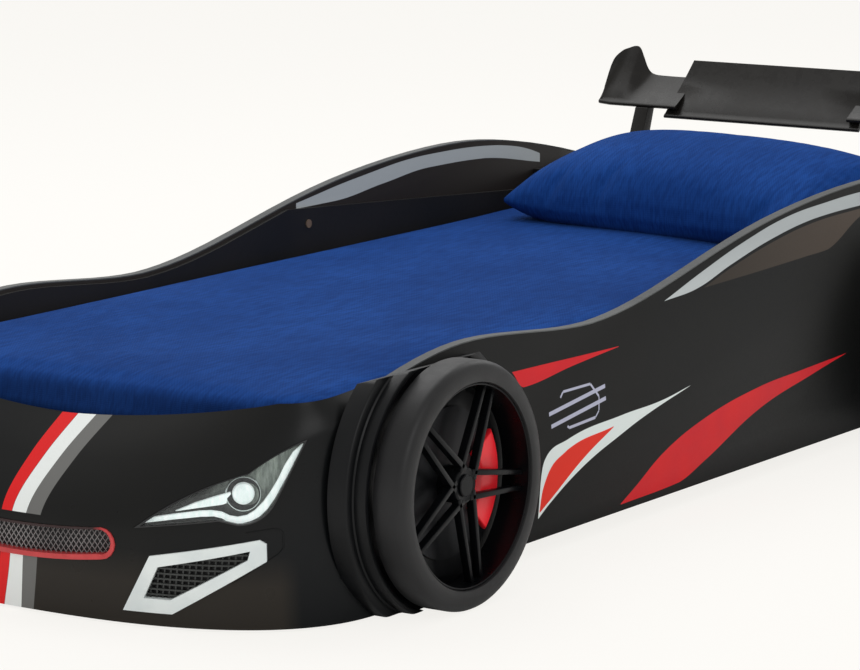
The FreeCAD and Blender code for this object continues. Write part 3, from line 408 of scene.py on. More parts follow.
TRIM_WHITE = moulded("trim_white", shade(236, 242, 240), shade(220, 228, 228), 0.34)
BUCKET = lamp_bucket()
LENS = clear_lens()
GLOW = lamp_glow()
CHROME = moulded("lamp_chrome", shade(225, 230, 228), shade(190, 196, 194), 0.14, Metallic=0.9)
WING = moulded("wing_black", shade(27, 25, 22), shade(24, 22, 20), 0.28, Specular_IOR_Level=0.22)
GLIDE = moulded("glide_black", shade(34, 34, 35), shade(26, 26, 27), 0.6)
COTTON = bed_cotton()
CAP_BROWN = moulded("cap_brown", shade(120, 100, 80), shade(92, 76, 62), 0.4)

NODE_FINISH = {
    PRINT: ("side_panel_left", "side_panel_right"), EDGE_BAND: ("edge_trim_left", "edge_trim_right"),
    BOARD: ("inner_liner_left", "inner_liner_right", "corner_board_left", "corner_board_right", "front_board",
            "headboard", "rear_deck", "tail_panel"),
    PINE: ("slat_ledger_left", "slat_ledger_right", "front_ledger", "slats", "centre_beam", "centre_legs"),
    LACQUER: ("front_clip",), GRILLE_RED: ("grille_surround",), NET_GREY: ("grille_mesh",), NET_DARK: ("fog_meshes",),
    TRIM_WHITE: ("fog_surrounds",), BUCKET: ("headlight_housings",), LENS: ("headlight_lenses",),
    GLOW: ("light_strips",), CHROME: ("projectors",), SATIN: ("wheel_arches", "clip_brackets", "wheel_carriers"),
    TYRE: ("tyres",), RIM: ("wheel_rims", "centre_caps"), STEEL: ("brake_discs",), CALIPER: ("brake_calipers",),
    WING: ("wing", "wing_post_left", "wing_post_right"), GLIDE: ("feet",), COTTON: ("mattress", "pillow"),
    CAP_BROWN: ("screw_caps",)}
for finish, nodes in NODE_FINISH.items():
    for node in nodes:
        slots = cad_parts[node].data.materials
        slots.clear()
        slots.append(finish.material)


# ---------------------------------------------------------------- making pieces
def tidy_shape(bm, merge=0.00005):
    bmesh.ops.remove_doubles(bm, verts=bm.verts, dist=merge)
    bmesh.ops.recalc_face_normals(bm, faces=bm.faces)


def both_sides(bm):
    """Adds the right side's mirror image of a left side's shape."""
    bmesh.ops.mirror(bm, geom=bm.verts[:] + bm.edges[:] + bm.faces[:], axis="X", merge_dist=0.00001)
    bmesh.ops.recalc_face_normals(bm, faces=bm.faces)


def onto_side(bm, side):
    """Turns a left side's shape into the right side's where side is -1."""
    if side < 0:
        bmesh.ops.scale(bm, vec=(-1, 1, 1), verts=bm.verts)


def as_object(name, bm, finish=None):
    mesh = bpy.data.meshes.new(name)
    bm.to_mesh(mesh)
    bm.free()
    thing = bpy.data.objects.new(name, mesh)
    bpy.context.scene.collection.objects.link(thing)
    if finish:
        mesh.materials.append(finish.material)
    return thing


def smooth(thing, angle=32.0):
    """Smooth faces, with hard edges where the shape turns by more than the angle."""
    thing.data.shade_smooth()
    thing.data.set_sharp_from_angle(angle=math.radians(angle))
    return thing


def fitted(thing, nodes=(), body="bed", angle=32.0):
    """The finished piece, riding on its body."""
    smooth(thing, angle)
    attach(thing, body)
    if nodes:
        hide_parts(*nodes)
    return thing


def settle(thing):
    """Applies the modifiers to the mesh."""
    depsgraph = bpy.context.evaluated_depsgraph_get()
    shape = bpy.data.meshes.new_from_object(thing.evaluated_get(depsgraph), depsgraph=depsgraph)
    thing.modifiers.clear()
    old, thing.data = thing.data, shape
    bpy.data.meshes.remove(old)
    return thing


def carve(thing, cutters, operation="DIFFERENCE"):
    """Cuts the cutters out of a closed shape, or keeps what it shares with them, and drops them."""
    for cutter in cutters:
        step = thing.modifiers.new("cut", "BOOLEAN")
        step.operation, step.solver, step.object = operation, "EXACT", cutter
    settle(thing)
    for cutter in cutters:
        bpy.data.objects.remove(cutter)
    return thing


def rounded(thing, width, segments=2, angle=40.0):
    edge = thing.modifiers.new("rounding", "BEVEL")
    edge.width, edge.segments, edge.limit_method = width, segments, "ANGLE"
    edge.angle_limit, edge.harden_normals = math.radians(angle), False
    edge.use_clamp_overlap = True
    return thing


def eased(node, finish, width=0.0012, angle=40.0):
    """A board or moulding as constructed, with its hard edges eased."""
    bm = bmesh.new()
    bm.from_mesh(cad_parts[node].data)
    tidy_shape(bm)
    bmesh.ops.dissolve_limit(bm, angle_limit=math.radians(1.0), verts=bm.verts, edges=bm.edges)
    thing = as_object(node + "_eased", bm, finish)
    settle(rounded(thing, width, 2, angle))
    return thing


def arc_through(a, b, c, count):
    """Points on the circular arc from a by way of b to c, without c."""
    (ax, ay), (bx, by), (cx, cy) = a, b, c
    d = 2 * (ax * (by - cy) + bx * (cy - ay) + cx * (ay - by))
    sa, sb, sc = ax * ax + ay * ay, bx * bx + by * by, cx * cx + cy * cy
    ox = (sa * (by - cy) + sb * (cy - ay) + sc * (ay - by)) / d
    oy = (sa * (cx - bx) + sb * (ax - cx) + sc * (bx - ax)) / d
    start, mid, end = (math.atan2(p[1] - oy, p[0] - ox) for p in (a, b, c))
    turn = (end - start) % (2 * math.pi)
    if (mid - start) % (2 * math.pi) > turn:
        turn -= 2 * math.pi
    radius = math.hypot(ax - ox, ay - oy)
    return [(ox + radius * math.cos(start + turn * i / count), oy + radius * math.sin(start + turn * i / count))
            for i in range(count)]


def looking_bar(name, outline, angle, place, back=0.2, ahead=0.3, side=1):
    """A bar of the given (u, z) outline, along the level direction at the angle from straight ahead."""
    s, c = math.sin(math.radians(angle)), math.cos(math.radians(angle))
    across, on = Vector((c, s, 0)), Vector((s, -c, 0))
    start = Vector((place[0], place[1], 0)) - on * back
    bm = bmesh.new()
    face = bm.faces.new([bm.verts.new(start + across * u + UP * z) for u, z in outline])
    far = bmesh.ops.extrude_face_region(bm, geom=[face])["geom"]
    bmesh.ops.translate(bm, verts=[v for v in far if isinstance(v, bmesh.types.BMVert)], vec=on * (back + ahead))
    onto_side(bm, side)
    bmesh.ops.recalc_face_normals(bm, faces=bm.faces)
    return as_object(name, bm)


def turned(bm, profile, x0, y, steps=96):
    """A closed ring about an axle, from a closed profile of (along the axle, radius)."""
    verts = [bm.verts.new((x0 + a, y, HUB_Z + r)) for a, r in profile]
    edges = [bm.edges.new(pair) for pair in zip(verts, verts[1:] + verts[:1])]
    bmesh.ops.spin(bm, geom=verts + edges, cent=(0, y, HUB_Z), axis=(1, 0, 0), angle=2 * math.pi, steps=steps,
                   use_merge=True)


# ---------------------------------------------------------------- moulded nose
def through(knots, share):
    """A point on a smooth line through the knots."""
    spans = len(knots) - 1
    i = min(int(share * spans), spans - 1)
    t = share * spans - i
    a, b, c, d = (knots[max(0, min(spans, k))] for k in (i - 1, i, i + 1, i + 2))
    return 0.5 * ((2 * b) + (c - a) * t + (2 * a - 5 * b + 4 * c - d) * t ** 2 + (3 * b - a - 3 * c + d) * t ** 3)


def nose_point(turn, share, inset):
    """A point of the nose: turn from -1 to 1 round it, share from foot to hood edge, inset into it."""
    w = abs(turn)
    angle = math.pi / 2 * (3 * w * w - 2 * w ** 3)
    side = math.copysign(1, turn)
    s, c = math.sin(angle), max(0.0, math.cos(angle))
    foot = Vector((side * (NOSE_HALF - inset) * s ** 0.8, NOSE_Y - (NOSE_DEPTH - inset) * c ** 0.8, 0))
    edge = Vector((side * HOOD_HALF * s ** 0.4, NOSE_Y - HOOD_DEPTH * c ** 0.4, 0))
    belt = BELT_MID + BELT_RISE * s ** 2.5
    level = HOOD_HALF - 0.053
    top = 0.290 + 0.050 * (min(abs(edge.x), level) / level) ** 1.6 + 0.07 * max(0.0, edge.y - NOSE_Y + 0.160)
    out = Vector((side * s, -c, 0)) * NOSE_BULGE
    knots = [foot + UP * 0.004, foot + out + UP * 0.62 * belt, foot + UP * (belt + 0.004),
             (foot + edge) / 2 + out + UP * (belt + 0.55 * (top - belt) - 0.6 * inset),
             edge + UP * (top - inset)]
    return through(knots, share)


def nose_shell(name, outer, inner, reach=1.0, columns=150, rows=26):
    """The nose's skin between two insets, as a closed shape; reach is how far round it goes."""
    bm = bmesh.new()
    laps = 2 * rows + 2
    bmesh.ops.create_grid(bm, x_segments=columns, y_segments=laps, size=1.0)
    for vert in bm.verts:
        turn, lap = vert.co.x * reach, round((vert.co.y + 1) / 2 * laps) % laps
        if lap <= rows:
            vert.co = nose_point(turn, lap / rows, outer)
        else:
            vert.co = nose_point(turn, (2 * rows + 1 - lap) / rows, inner)
    bmesh.ops.remove_doubles(bm, verts=bm.verts, dist=0.00002)
    bmesh.ops.holes_fill(bm, edges=[e for e in bm.edges if e.is_boundary], sides=0)
    bmesh.ops.recalc_face_normals(bm, faces=bm.faces)
    return as_object(name, bm)


def lamp_outline(inset=0.0):
    scale = 1.0 - inset / 0.032
    points = arc_through((-.166, -.059), (-.088, -.007), (.007, .032), 12)
    points += arc_through((.007, .032), (.048, .059), (.095, .080), 8)
    points += [(.095, .080), (.046, -.012)]
    points += arc_through((.046, -.012), (.022, -.038), (-.012, -.047), 8)[1:]
    points += [(-.012, -.047), (-.040, -.041)]
    return [(u * scale, LAMP_Z + z * scale) for u, z in points]


def grille_outline(low=0.0, top=0.0):
    """The grille's opening in (x, z), drawn in by the rims of its frame."""
    half, height, rise = GRILLE_HALF - (low + top) / 2, 0.053, 0.011
    z_top, z_low = GRILLE_Z + height / 2 - top, GRILLE_Z - height / 2 + low
    shoulder, up, down = half - 0.45 * height, z_top + 0.7 * rise, z_low + rise
    level = (up + down) / 2
    runs = (((-shoulder, up), (0.0, z_top), (shoulder, up), 24),
            ((shoulder, up), (half, level), (shoulder, down), 8),
            ((shoulder, down), (0.0, z_low), (-shoulder, down), 24),
            ((-shoulder, down), (-half, level), (-shoulder, up), 8))
    return [point for a, b, c, count in runs for point in arc_through(a, b, c, count)]


def lamp_bar(inset, side):
    return looking_bar("lamp_bar", lamp_outline(inset), LAMP_ANGLE, LAMP_PLACE, side=side)


def fog_bar(outline, side):
    return looking_bar("fog_bar", outline, FOG_ANGLE, FOG_PLACE, side=side)


def grille_bar(low, top):
    return looking_bar("grille_bar", grille_outline(low, top), 0.0, (0.0, -1.1745))


def arch_plug(side):
    """The room of the front wheel's arch, taken out of the nose's rear corner."""
    bm = bmesh.new()
    plug = [(.0, .05), (.0, .2253), (.0343, .2253), (.0343, .2073), (.075, .2073), (.075, .05)]
    turned(bm, plug, PANEL_OUT, AXLES[0])
    onto_side(bm, side)
    tidy_shape(bm)
    return as_object("arch_plug", bm)


def nose_insert(name, depth, finish, keep, cut=(), **shell):
    """A piece that follows the nose between two insets: what all the keep bars share, less the cut bars."""
    piece = nose_shell(name, *depth, **{"columns": 130, **shell})
    for bar in keep:
        carve(piece, [bar], "INTERSECT")
    if cut:
        carve(piece, cut)
    piece.data.materials.append(finish.material)
    return piece


def make_nose():
    """Hood, bumper and both front corners, with the openings for grille and lamps."""
    cutters = [grille_bar(0.0, 0.0)]
    for side, _ in SIDES:
        cutters += [lamp_bar(0.0, side), fog_bar(FOG_FRAME, side), arch_plug(side)]
    skin = nose_insert("nose_moulding", (0.0, 0.004), LACQUER, (), cutters, columns=220, rows=36)
    fitted(skin, ["front_clip"], angle=40.0)


def make_grille():
    ring = nose_insert("grille_frame", (-0.0025, 0.018), GRILLE_RED, [grille_bar(0.0003, 0.0003)],
                       [grille_bar(0.008, 0.004)], reach=0.62, columns=90)
    fitted(rounded(ring, 0.0008, 2, 50.0), ["grille_surround"])


def make_fog_lamps():
    for side, word in SIDES:
        ring = nose_insert("fog_frame_" + word, (-0.004, 0.016), TRIM_WHITE, [fog_bar(FOG_FRAME, side)],
                           [fog_bar(FOG_HOLE, side)])
        fitted(rounded(ring, 0.0012, 2, 50.0), ["fog_surrounds"])


def make_lenses():
    for side, word in SIDES:
        pane = nose_insert("lamp_cover_" + word, (-0.0004, 0.002), LENS, [lamp_bar(0.0003, side)])
        fitted(pane, ["headlight_lenses"])


# ---------------------------------------------------------------- wheels
def make_tyres():
    profile = [(.002, .1593), (.002, .189), (.003, .192), (.006, .193), (.042, .193), (.0460, .1924), (.0495, .1908),
               (.0525, .1880), (.0545, .1845), (.0560, .1790), (.0568, .1710), (.0566, .1650), (.0555, .1605),
               (.053, .1593)]
    bm = bmesh.new()
    for y in AXLES:
        turned(bm, profile, TYRE_BACK, y, 128)
    tidy_shape(bm)
    both_sides(bm)
    fitted(as_object("soft_tyres", bm, TYRE), ["tyres"], angle=50.0)


def add_spoke(bm, y, turn, lean):
    """One thin spoke from the hub to the barrel; the two of a pair draw together outwards."""
    back, near, far = 0.561, y + 0.015, y + 0.1555
    root, tip = 0.0195 * lean, 0.012 * lean
    corners = [(near, root - .0048), (far, tip - .004), (far, tip + .004), (near, root + .0048)]
    face = bm.faces.new([bm.verts.new((back, a, HUB_Z + h)) for a, h in corners])
    made = bmesh.ops.extrude_face_region(bm, geom=[face])["geom"]
    outer = [v for v in made if isinstance(v, bmesh.types.BMVert)]
    bmesh.ops.translate(bm, verts=outer, vec=(0.014, 0, 0))
    verts = list({v for g in (face.verts, outer) for v in g})
    edges = list({e for v in verts for e in v.link_edges})
    bevelled = bmesh.ops.bevel(bm, geom=edges, affect="EDGES", offset=0.0018, offset_type="OFFSET", segments=2,
                               profile=0.5, material=-1, clamp_overlap=True)
    grown = set(bevelled["verts"]) | {v for v in verts if v.is_valid}
    bmesh.ops.rotate(bm, verts=list(grown), cent=(0, y, HUB_Z), matrix=Matrix.Rotation(turn, 3, "X"))


def make_rims():
    barrel = [(.003, .155), (.003, .159), (.050, .159), (.0515, .1585), (.052, .157), (.0515, .1555), (.047, .155)]
    hub = [(.005, .0), (.005, .029), (.036, .029), (.0385, .0275), (.0395, .0245), (.038, .019), (.038, .0)]
    bm = bmesh.new()
    for y in AXLES:
        for pair in range(5):
            for lean in (-1, 1):
                add_spoke(bm, y, math.radians(-7 + 72 * pair), lean)
        turned(bm, barrel, TYRE_BACK, y, 128)
        turned(bm, hub, TYRE_BACK, y, 40)
    tidy_shape(bm)
    both_sides(bm)
    fitted(as_object("cast_rims", bm, RIM), ["wheel_rims"])


def make_arches():
    """Moulded arches between panel and tyre, in two steps with rounded edges."""
    profile = [(0, .150), (0, .225), (.030, .225), (.0325, .2242), (.034, .222), (.034, .2095), (.036, .2072),
               (.0535, .207), (.0562, .2062), (.057, .2035), (.057, .200), (.0555, .197), (.046, .196), (.046, .150)]
    bm = bmesh.new()
    for y in AXLES:
        ring = bmesh.new()
        turned(ring, profile, PANEL_OUT, y, 144)
        tidy_shape(ring)
        cuts = [((0, 0, 0.004), (0, 0, -1))]
        if y < 0:
            cuts.append(((PANEL_OUT, 0, 0.364), Vector((-16, 0, 59)).normalized()))
        for spot, away in cuts:
            geom = ring.verts[:] + ring.edges[:] + ring.faces[:]
            bmesh.ops.bisect_plane(ring, geom=geom, plane_co=spot, plane_no=away, clear_outer=True)
            bmesh.ops.holes_fill(ring, edges=[e for e in ring.edges if e.is_boundary], sides=0)
        shape = bpy.data.meshes.new("arch")
        ring.to_mesh(shape)
        ring.free()
        bm.from_mesh(shape)
        bpy.data.meshes.remove(shape)
    both_sides(bm)
    fitted(as_object("stepped_arches", bm, SATIN), ["wheel_arches"], angle=40.0)


def make_caps():
    bm = bmesh.new()
    for y in AXLES:
        turned(bm, [(.0, .0), (.0, .017), (.0025, .017), (.0038, .0155), (.004, .0)], 0.573, y, 40)
    tidy_shape(bm)
    both_sides(bm)
    fitted(as_object("hub_caps", bm, RIM), ["centre_caps"])


# ---------------------------------------------------------------- grille net and lamp details
def in_grille(x, height, inset):
    """A point in the grille's bowed plane, so high above its middle line and inset behind the bumper."""
    bow = NOSE_DEPTH * (1 - min(1.0, abs(x) / NOSE_HALF) ** 2.5) ** 0.4
    return x, NOSE_Y - bow + inset, GRILLE_Z + GRILLE_RISE * (x / GRILLE_HALF) ** 2 + height


def make_net():
    """Diamond net behind the grille's frame, bowed like the nose, on a dark back."""
    mesh_wide, mesh_high = 0.0097, 0.0125
    bm = bmesh.new()
    bmesh.ops.create_grid(bm, x_segments=64, y_segments=64, size=32.0)
    bmesh.ops.rotate(bm, verts=bm.verts, cent=(0, 0, 0), matrix=Matrix.Rotation(math.radians(45), 3, "Z"))
    bmesh.ops.scale(bm, vec=(mesh_wide / math.sqrt(2), mesh_high / math.sqrt(2), 1), verts=bm.verts)
    far = []
    for vert in bm.verts:
        x, height = vert.co.x, vert.co.y + 0.003
        if abs(x) > 0.180 or abs(height) > 0.026 * (1 - (abs(x) / 0.192) ** 10):
            far.append(vert)
        vert.co = in_grille(x, height, 0.005)
    bmesh.ops.delete(bm, geom=far, context="VERTS")
    net = as_object("grille_net", bm, NET_GREY)
    wire = net.modifiers.new("strands", "WIREFRAME")
    wire.thickness, wire.use_boundary = 0.0017, True
    fitted(settle(net), ["grille_mesh"], angle=60.0)
    bm = bmesh.new()
    bmesh.ops.create_grid(bm, x_segments=24, y_segments=2, size=1.0)
    for vert in bm.verts:
        vert.co = in_grille(vert.co.x * 0.184, vert.co.y * 0.030, 0.012)
    back = as_object("grille_back", bm, GLIDE)
    wall = back.modifiers.new("wall", "SOLIDIFY")
    wall.thickness, wall.offset = 0.001, 0.0
    fitted(settle(back))


GUIDE = [(-148, -50.7), (-105.5, -42.4), (-66, -36), (-46, -34.6), (-34.3, -37.2), (-26.7, -41.8), (-18.9, -44.1),
         (-5.2, -44.1), (7.9, -40.7), (20.8, -34.3), (32.8, -22.8), (45.4, -5.2), (59.7, 20.2), (74, 45.5), (92, 76),
         (73, 61), (59.9, 41.3), (49.6, 20.8), (37.2, 1.1), (27, -12.7), (14.7, -25.1), (3, -32.4), (-11, -35.2),
         (-22.6, -33.4), (-34.4, -28), (-50, -26.4), (-65.5, -27.8), (-105.7, -35), (-142.4, -43.1)]
WEDGE = [(-102.3, -30.4), (-73.7, -24.4), (-46, -19.3), (-32.5, -16.9), (-27.1, -14.8), (-26.2, -7.6), (-20.6, -1.3),
         (-20.9, 1.5), (-46, -6.6), (-73.3, -16.6)]


def spun(seat, ahead, profile, side):
    """A closed ring about a level axis, from a closed profile of (along it, radius)."""
    bm = bmesh.new()
    verts = [bm.verts.new(seat + ahead * a + UP * r) for a, r in profile]
    edges = [bm.edges.new(pair) for pair in zip(verts, verts[1:] + verts[:1])]
    bmesh.ops.spin(bm, geom=verts + edges, cent=seat, axis=ahead, angle=2 * math.pi, steps=48, use_merge=True)
    onto_side(bm, side)
    tidy_shape(bm)
    return bm


def make_lamps():
    """Light guide, bright wedge, projector and rim of each headlight."""
    s, c = math.sin(math.radians(LAMP_ANGLE)), math.cos(math.radians(LAMP_ANGLE))
    across, ahead = Vector((c, s, 0)), Vector((s, -c, 0))
    for side, word in SIDES:
        for name, outline, depth, nodes in (("light_guide_", GUIDE, (0.0045, 0.010), ["light_strips"]),
                                            ("lamp_wedge_", WEDGE, (0.006, 0.012), ())):
            points = [(u / 1000, LAMP_Z + z / 1000) for u, z in outline]
            bar = looking_bar("strip_bar", points, LAMP_ANGLE, LAMP_PLACE, side=side)
            fitted(nose_insert(name + word, depth, GLOW, [bar], rows=20), nodes)
        corners = [v.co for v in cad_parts["projectors"].data.vertices if v.co.x * side > 0]
        middle = sum(corners, Vector()) / len(corners)
        middle.x *= side
        seat = middle + across * -0.001 + UP * -0.0035
        eye = [(.007, .0), (.0065, .006), (.005, .011), (.002, .0155), (-.001, .0168), (-.004, .0168), (-.004, 0)]
        bowl = [(-.006, .0170), (-.005, .0190), (-.002, .0235), (.0005, .0248), (-.008, .0250), (-.008, .0170)]
        ring = [(-.004, .0252), (.0020, .0252), (.0032, .0262), (.0020, .0274), (-.004, .0274)]
        for name, profile, finish, nodes in (("projector_eye_", eye, GLOW, ["projectors"]),
                                             ("projector_bowl_", bowl, SATIN, ()),
                                             ("projector_ring_", ring, CHROME, ())):
            piece = as_object(name + word, spun(seat, ahead, profile, side), finish)
            fitted(piece, nodes)
        rim = nose_insert("lamp_rim_" + word, (-0.0016, 0.007), PIANO, [lamp_bar(0.0002, side)],
                          [lamp_bar(0.0019, side)])
        fitted(rounded(rim, 0.0006, 2, 50.0))


def bars_cutter(name, bars, side):
    """Several straight bars, each of four (u, z) corners, as one cutter."""
    whole = bmesh.new()
    for corners in bars:
        part = looking_bar(name, corners, FOG_ANGLE, FOG_PLACE, side=side)
        whole.from_mesh(part.data)
        bpy.data.objects.remove(part)
    return as_object(name, whole)


def make_fog_nets():
    """Dark net of level bars and uprights in each fog lamp, on a closed back."""
    rows = [[(-.09, z - .0013), (.11, z - .0013), (.11, z + .0013), (-.09, z + .0013)]
            for z in (.044 + .0083 * i for i in range(11))]
    uprights = [[(u - .0012, .04), (u + .0012, .04), (u + .0112, .13), (u + .0088, .13)]
                for u in (-.085 + .0098 * i for i in range(20))]
    middle = [sum(c) / len(FOG_EDGE) for c in zip(*FOG_EDGE)]
    inner = [(middle[0] + (u - middle[0]) * .979, middle[1] + (z - middle[1]) * .968) for u, z in FOG_EDGE]
    inboard = [(-.12, .02), (-.12, .2), (.10, .2), (.05, .02)]
    for side, word in SIDES:
        for name, bars, depth, finish, nodes in (
                ("fog_rows_", rows, (.0045, .0085), NET_DARK, ["fog_meshes"]),
                ("fog_uprights_", uprights, (.0065, .0095), NET_DARK, ()),
                ("fog_back_", (), (.0125, .0140), GLIDE, ())):
            keep = [fog_bar(FOG_HOLE, side)] + ([bars_cutter("net_bars", bars, side)] if bars else [])
            fitted(nose_insert(name + word, depth, finish, keep, columns=110, rows=20), nodes)
        lip = nose_insert("fog_lip_" + word, (-0.0016, 0.002), LACQUER, [fog_bar(FOG_EDGE, side)],
                          [fog_bar(inner, side), fog_bar(inboard, side)], columns=150)
        fitted(rounded(lip, 0.0005, 2, 50.0))


# ---------------------------------------------------------------- bedding
def puffed(thing, pressure, cap, frames=20):
    """Lets the cloth swell under pressure, holds each point within the cap, and keeps the result."""
    start = [v.co.copy() for v in thing.data.vertices]
    cloth = thing.modifiers.new("swell", "CLOTH")
    cloth.settings.use_pressure = True
    cloth.settings.uniform_pressure_force = pressure
    cloth.settings.effector_weights.gravity = 0.0
    cloth.settings.quality = 6
    cloth.settings.tension_stiffness = 15
    cloth.settings.compression_stiffness = 15
    cloth.settings.bending_stiffness = 0.3
    cloth.point_cache.frame_start, cloth.point_cache.frame_end = 1, frames
    for step in range(1, frames + 1):
        bpy.context.scene.frame_set(step)
    settle(thing)
    bpy.context.scene.frame_set(1)
    for vert, old in zip(thing.data.vertices, start):
        move = vert.co - old
        if move.length > cap:
            vert.co = old + move.normalized() * cap
    return thing


def remeshed(thing, size):
    grid = thing.modifiers.new("even", "REMESH")
    grid.mode, grid.voxel_size = "VOXEL", size
    return settle(thing)


def in_cotton(pad, node, angle):
    """Dresses a pad in cotton, softens it once more and lays it on the body of the node's name."""
    pad.data.materials.append(COTTON.material)
    soft = pad.modifiers.new("soften", "SUBSURF")
    soft.levels = soft.render_levels = 1
    fitted(settle(pad), [node], node, angle)


def make_mattress():
    """Foam block in a fitted sheet: soft shoulders, crowned top, drawn a little at its corners."""
    low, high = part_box("mattress")
    bm = bmesh.new()
    bmesh.ops.create_cube(bm, size=1.0)
    size, middle = high - low, (low + high) / 2
    bmesh.ops.scale(bm, vec=(size.x - 0.004, size.y - 0.004, size.z - 0.010), verts=bm.verts)
    bmesh.ops.translate(bm, vec=(middle.x, middle.y, middle.z - 0.005), verts=bm.verts)
    upright = [e for e in bm.edges if abs(e.verts[0].co.z - e.verts[1].co.z) > 0.1]
    bmesh.ops.bevel(bm, geom=upright, affect="EDGES", offset=0.088, offset_type="OFFSET", segments=10, profile=0.5,
                    material=-1)
    top_z = max(v.co.z for v in bm.verts)
    rim = [e for e in bm.edges if min(v.co.z for v in e.verts) > top_z - 0.001]
    bmesh.ops.bevel(bm, geom=rim, affect="EDGES", offset=0.020, offset_type="OFFSET", segments=4, profile=0.5,
                    material=-1)
    pad = as_object("mattress_in_sheet", bm)
    remeshed(pad, 0.012)
    for vert in pad.data.vertices:
        p = vert.co
        if p.z > middle.z:
            inward = min(size.x / 2 - abs(p.x - middle.x), size.y / 2 - abs(p.y - middle.y))
            rise = max(0.0, min(1.0, inward / 0.16))
            lift = (p.z - middle.z) / (size.z / 2 - 0.010)
            p.z += 0.009 * math.sin(rise * math.pi / 2) * min(1.0, lift)
            p.z += 0.0016 * lift * math.sin(9.0 * p.x + 2.0 * math.sin(4.0 * p.y)) * rise
    puffed(pad, 1.5, 0.004, 12)
    in_cotton(pad, "mattress", 60.0)


PILLOW_SEAT = Vector((0.050, 0.7833, 0.414))
PILLOW_TURN, PILLOW_TILT = math.radians(-8.0), math.radians(11.0)
SHEET_TOP = 0.3495


def make_pillow():
    """A full pillow in its case, leaning on the headboard and askew."""
    length, width, half_t = 0.770, 0.430, 0.090
    bm = bmesh.new()
    bmesh.ops.create_grid(bm, x_segments=56, y_segments=32, size=1.0)
    lower = bmesh.ops.duplicate(bm, geom=bm.verts[:] + bm.edges[:] + bm.faces[:])["geom"]
    below = {g for g in lower if isinstance(g, bmesh.types.BMVert)}
    for vert in bm.verts:
        f, g = vert.co.x, vert.co.y
        swell = max(0.0, (1 - abs(f) ** 2.6) * (1 - abs(g) ** 2.4)) ** 0.55
        corner = abs(f) * abs(g)
        draw_in = 0.030 * (1 - abs(f) ** 2) * abs(g) ** 3 + 0.022 * corner ** 3
        draw_along = 0.034 * (1 - abs(g) ** 2) * abs(f) ** 3 + 0.034 * corner ** 3
        share = -0.82 if vert in below else 1.02
        tuck = 0.0
        for spot in (-0.62, -0.30, 0.72):
            tuck += 0.017 * math.exp(-((f - spot - 0.1 * (1 + g)) / 0.035) ** 2) * math.exp(-((1 + g) / 0.32) ** 2)
        height = share * (half_t - 0.004) * swell - (tuck if share > 0 else 0) * swell ** 0.4
        height += 0.012 * corner ** 4
        vert.co = (f * (length / 2 - draw_along), g * (width / 2 - draw_in), height)
    tidy_shape(bm, 0.0005)
    for turn, axis in ((PILLOW_TILT, "X"), (PILLOW_TURN, "Z")):
        bmesh.ops.rotate(bm, verts=bm.verts, cent=(0, 0, 0), matrix=Matrix.Rotation(turn, 3, axis))
    bmesh.ops.translate(bm, verts=bm.verts, vec=PILLOW_SEAT)
    pad = as_object("pillow_in_case", bm)
    remeshed(pad, 0.006)
    puffed(pad, 4.0, 0.006)
    for vert in pad.data.vertices:
        if vert.co.z < SHEET_TOP:
            vert.co.z = SHEET_TOP + (vert.co.z - SHEET_TOP) * 0.02
    in_cotton(pad, "pillow", 70.0)


# ---------------------------------------------------------------- boards and wing with eased edges
def make_boards():
    for node, finish, slot, width in (
            ("side_panel_left", PRINT, "printed_board", 0.001), ("side_panel_right", PRINT, "printed_board", 0.001),
            ("headboard", BOARD, "board_dark", 0.0012), ("rear_deck", BOARD, "board_dark", 0.0012),
            ("tail_panel", BOARD, "board_dark", 0.0012),
            ("wing_post_left", WING, "wing_black", 0.002), ("wing_post_right", WING, "wing_black", 0.002),
            ("brake_calipers", CALIPER, "caliper_red", 0.002)):
        board = eased(node, finish, width, 25.0)
        if node == "brake_calipers":
            for vert in board.data.vertices:
                hub = Vector((vert.co.x, min(AXLES, key=lambda axle: abs(axle - vert.co.y)), HUB_Z))
                vert.co = hub + Matrix.Rotation(math.radians(-9), 3, "X") @ (vert.co - hub)
        fitted(board, [node])


WING_FRONT = 1.0895
WING_TOPS = [(.194, .582, .075), (.255, .582, .075), (.288, .584, .075), (.303, .594, .076), (.315, .616, .079),
             (.326, .634, .083), (.337, .638, .084), (.352, .634, .082), (.364, .627, .070), (.3715, .608, .048),
             (.3745, .560, .022)]


def blade_section(bm, x, foot, top, chord, thick=0.012, lean=0.0):
    """One closed section of the wing: hollow face, top edge, back and a rounded lip at its foot."""
    points = [(0.002, foot - 0.003), (-0.0010, foot - 0.001), (-0.0015, foot + 0.002), (0.0005, foot + 0.005),
              (0.003, foot + 0.006)]
    for share in (0.08, 0.25, 0.5, 0.75, 1.0):
        hollow = 0.004 * math.sin(math.pi * share)
        points.append((chord * share + hollow, foot + 0.004 + (top - foot - 0.004) * share))
    points.append((chord + 0.0005, top - 0.002))
    wall = thick * 0.6
    for share in (1.0, 0.7, 0.4, 0.1):
        points.append((wall + (chord - wall) * share, foot - 0.003 + (top - foot - 0.009) * share))
    verts = [bm.verts.new((x + lean * (top - z) / (top - foot), WING_FRONT + y, z)) for y, z in points]
    return [bm.edges.new(pair) for pair in zip(verts, verts[1:] + verts[:1])]


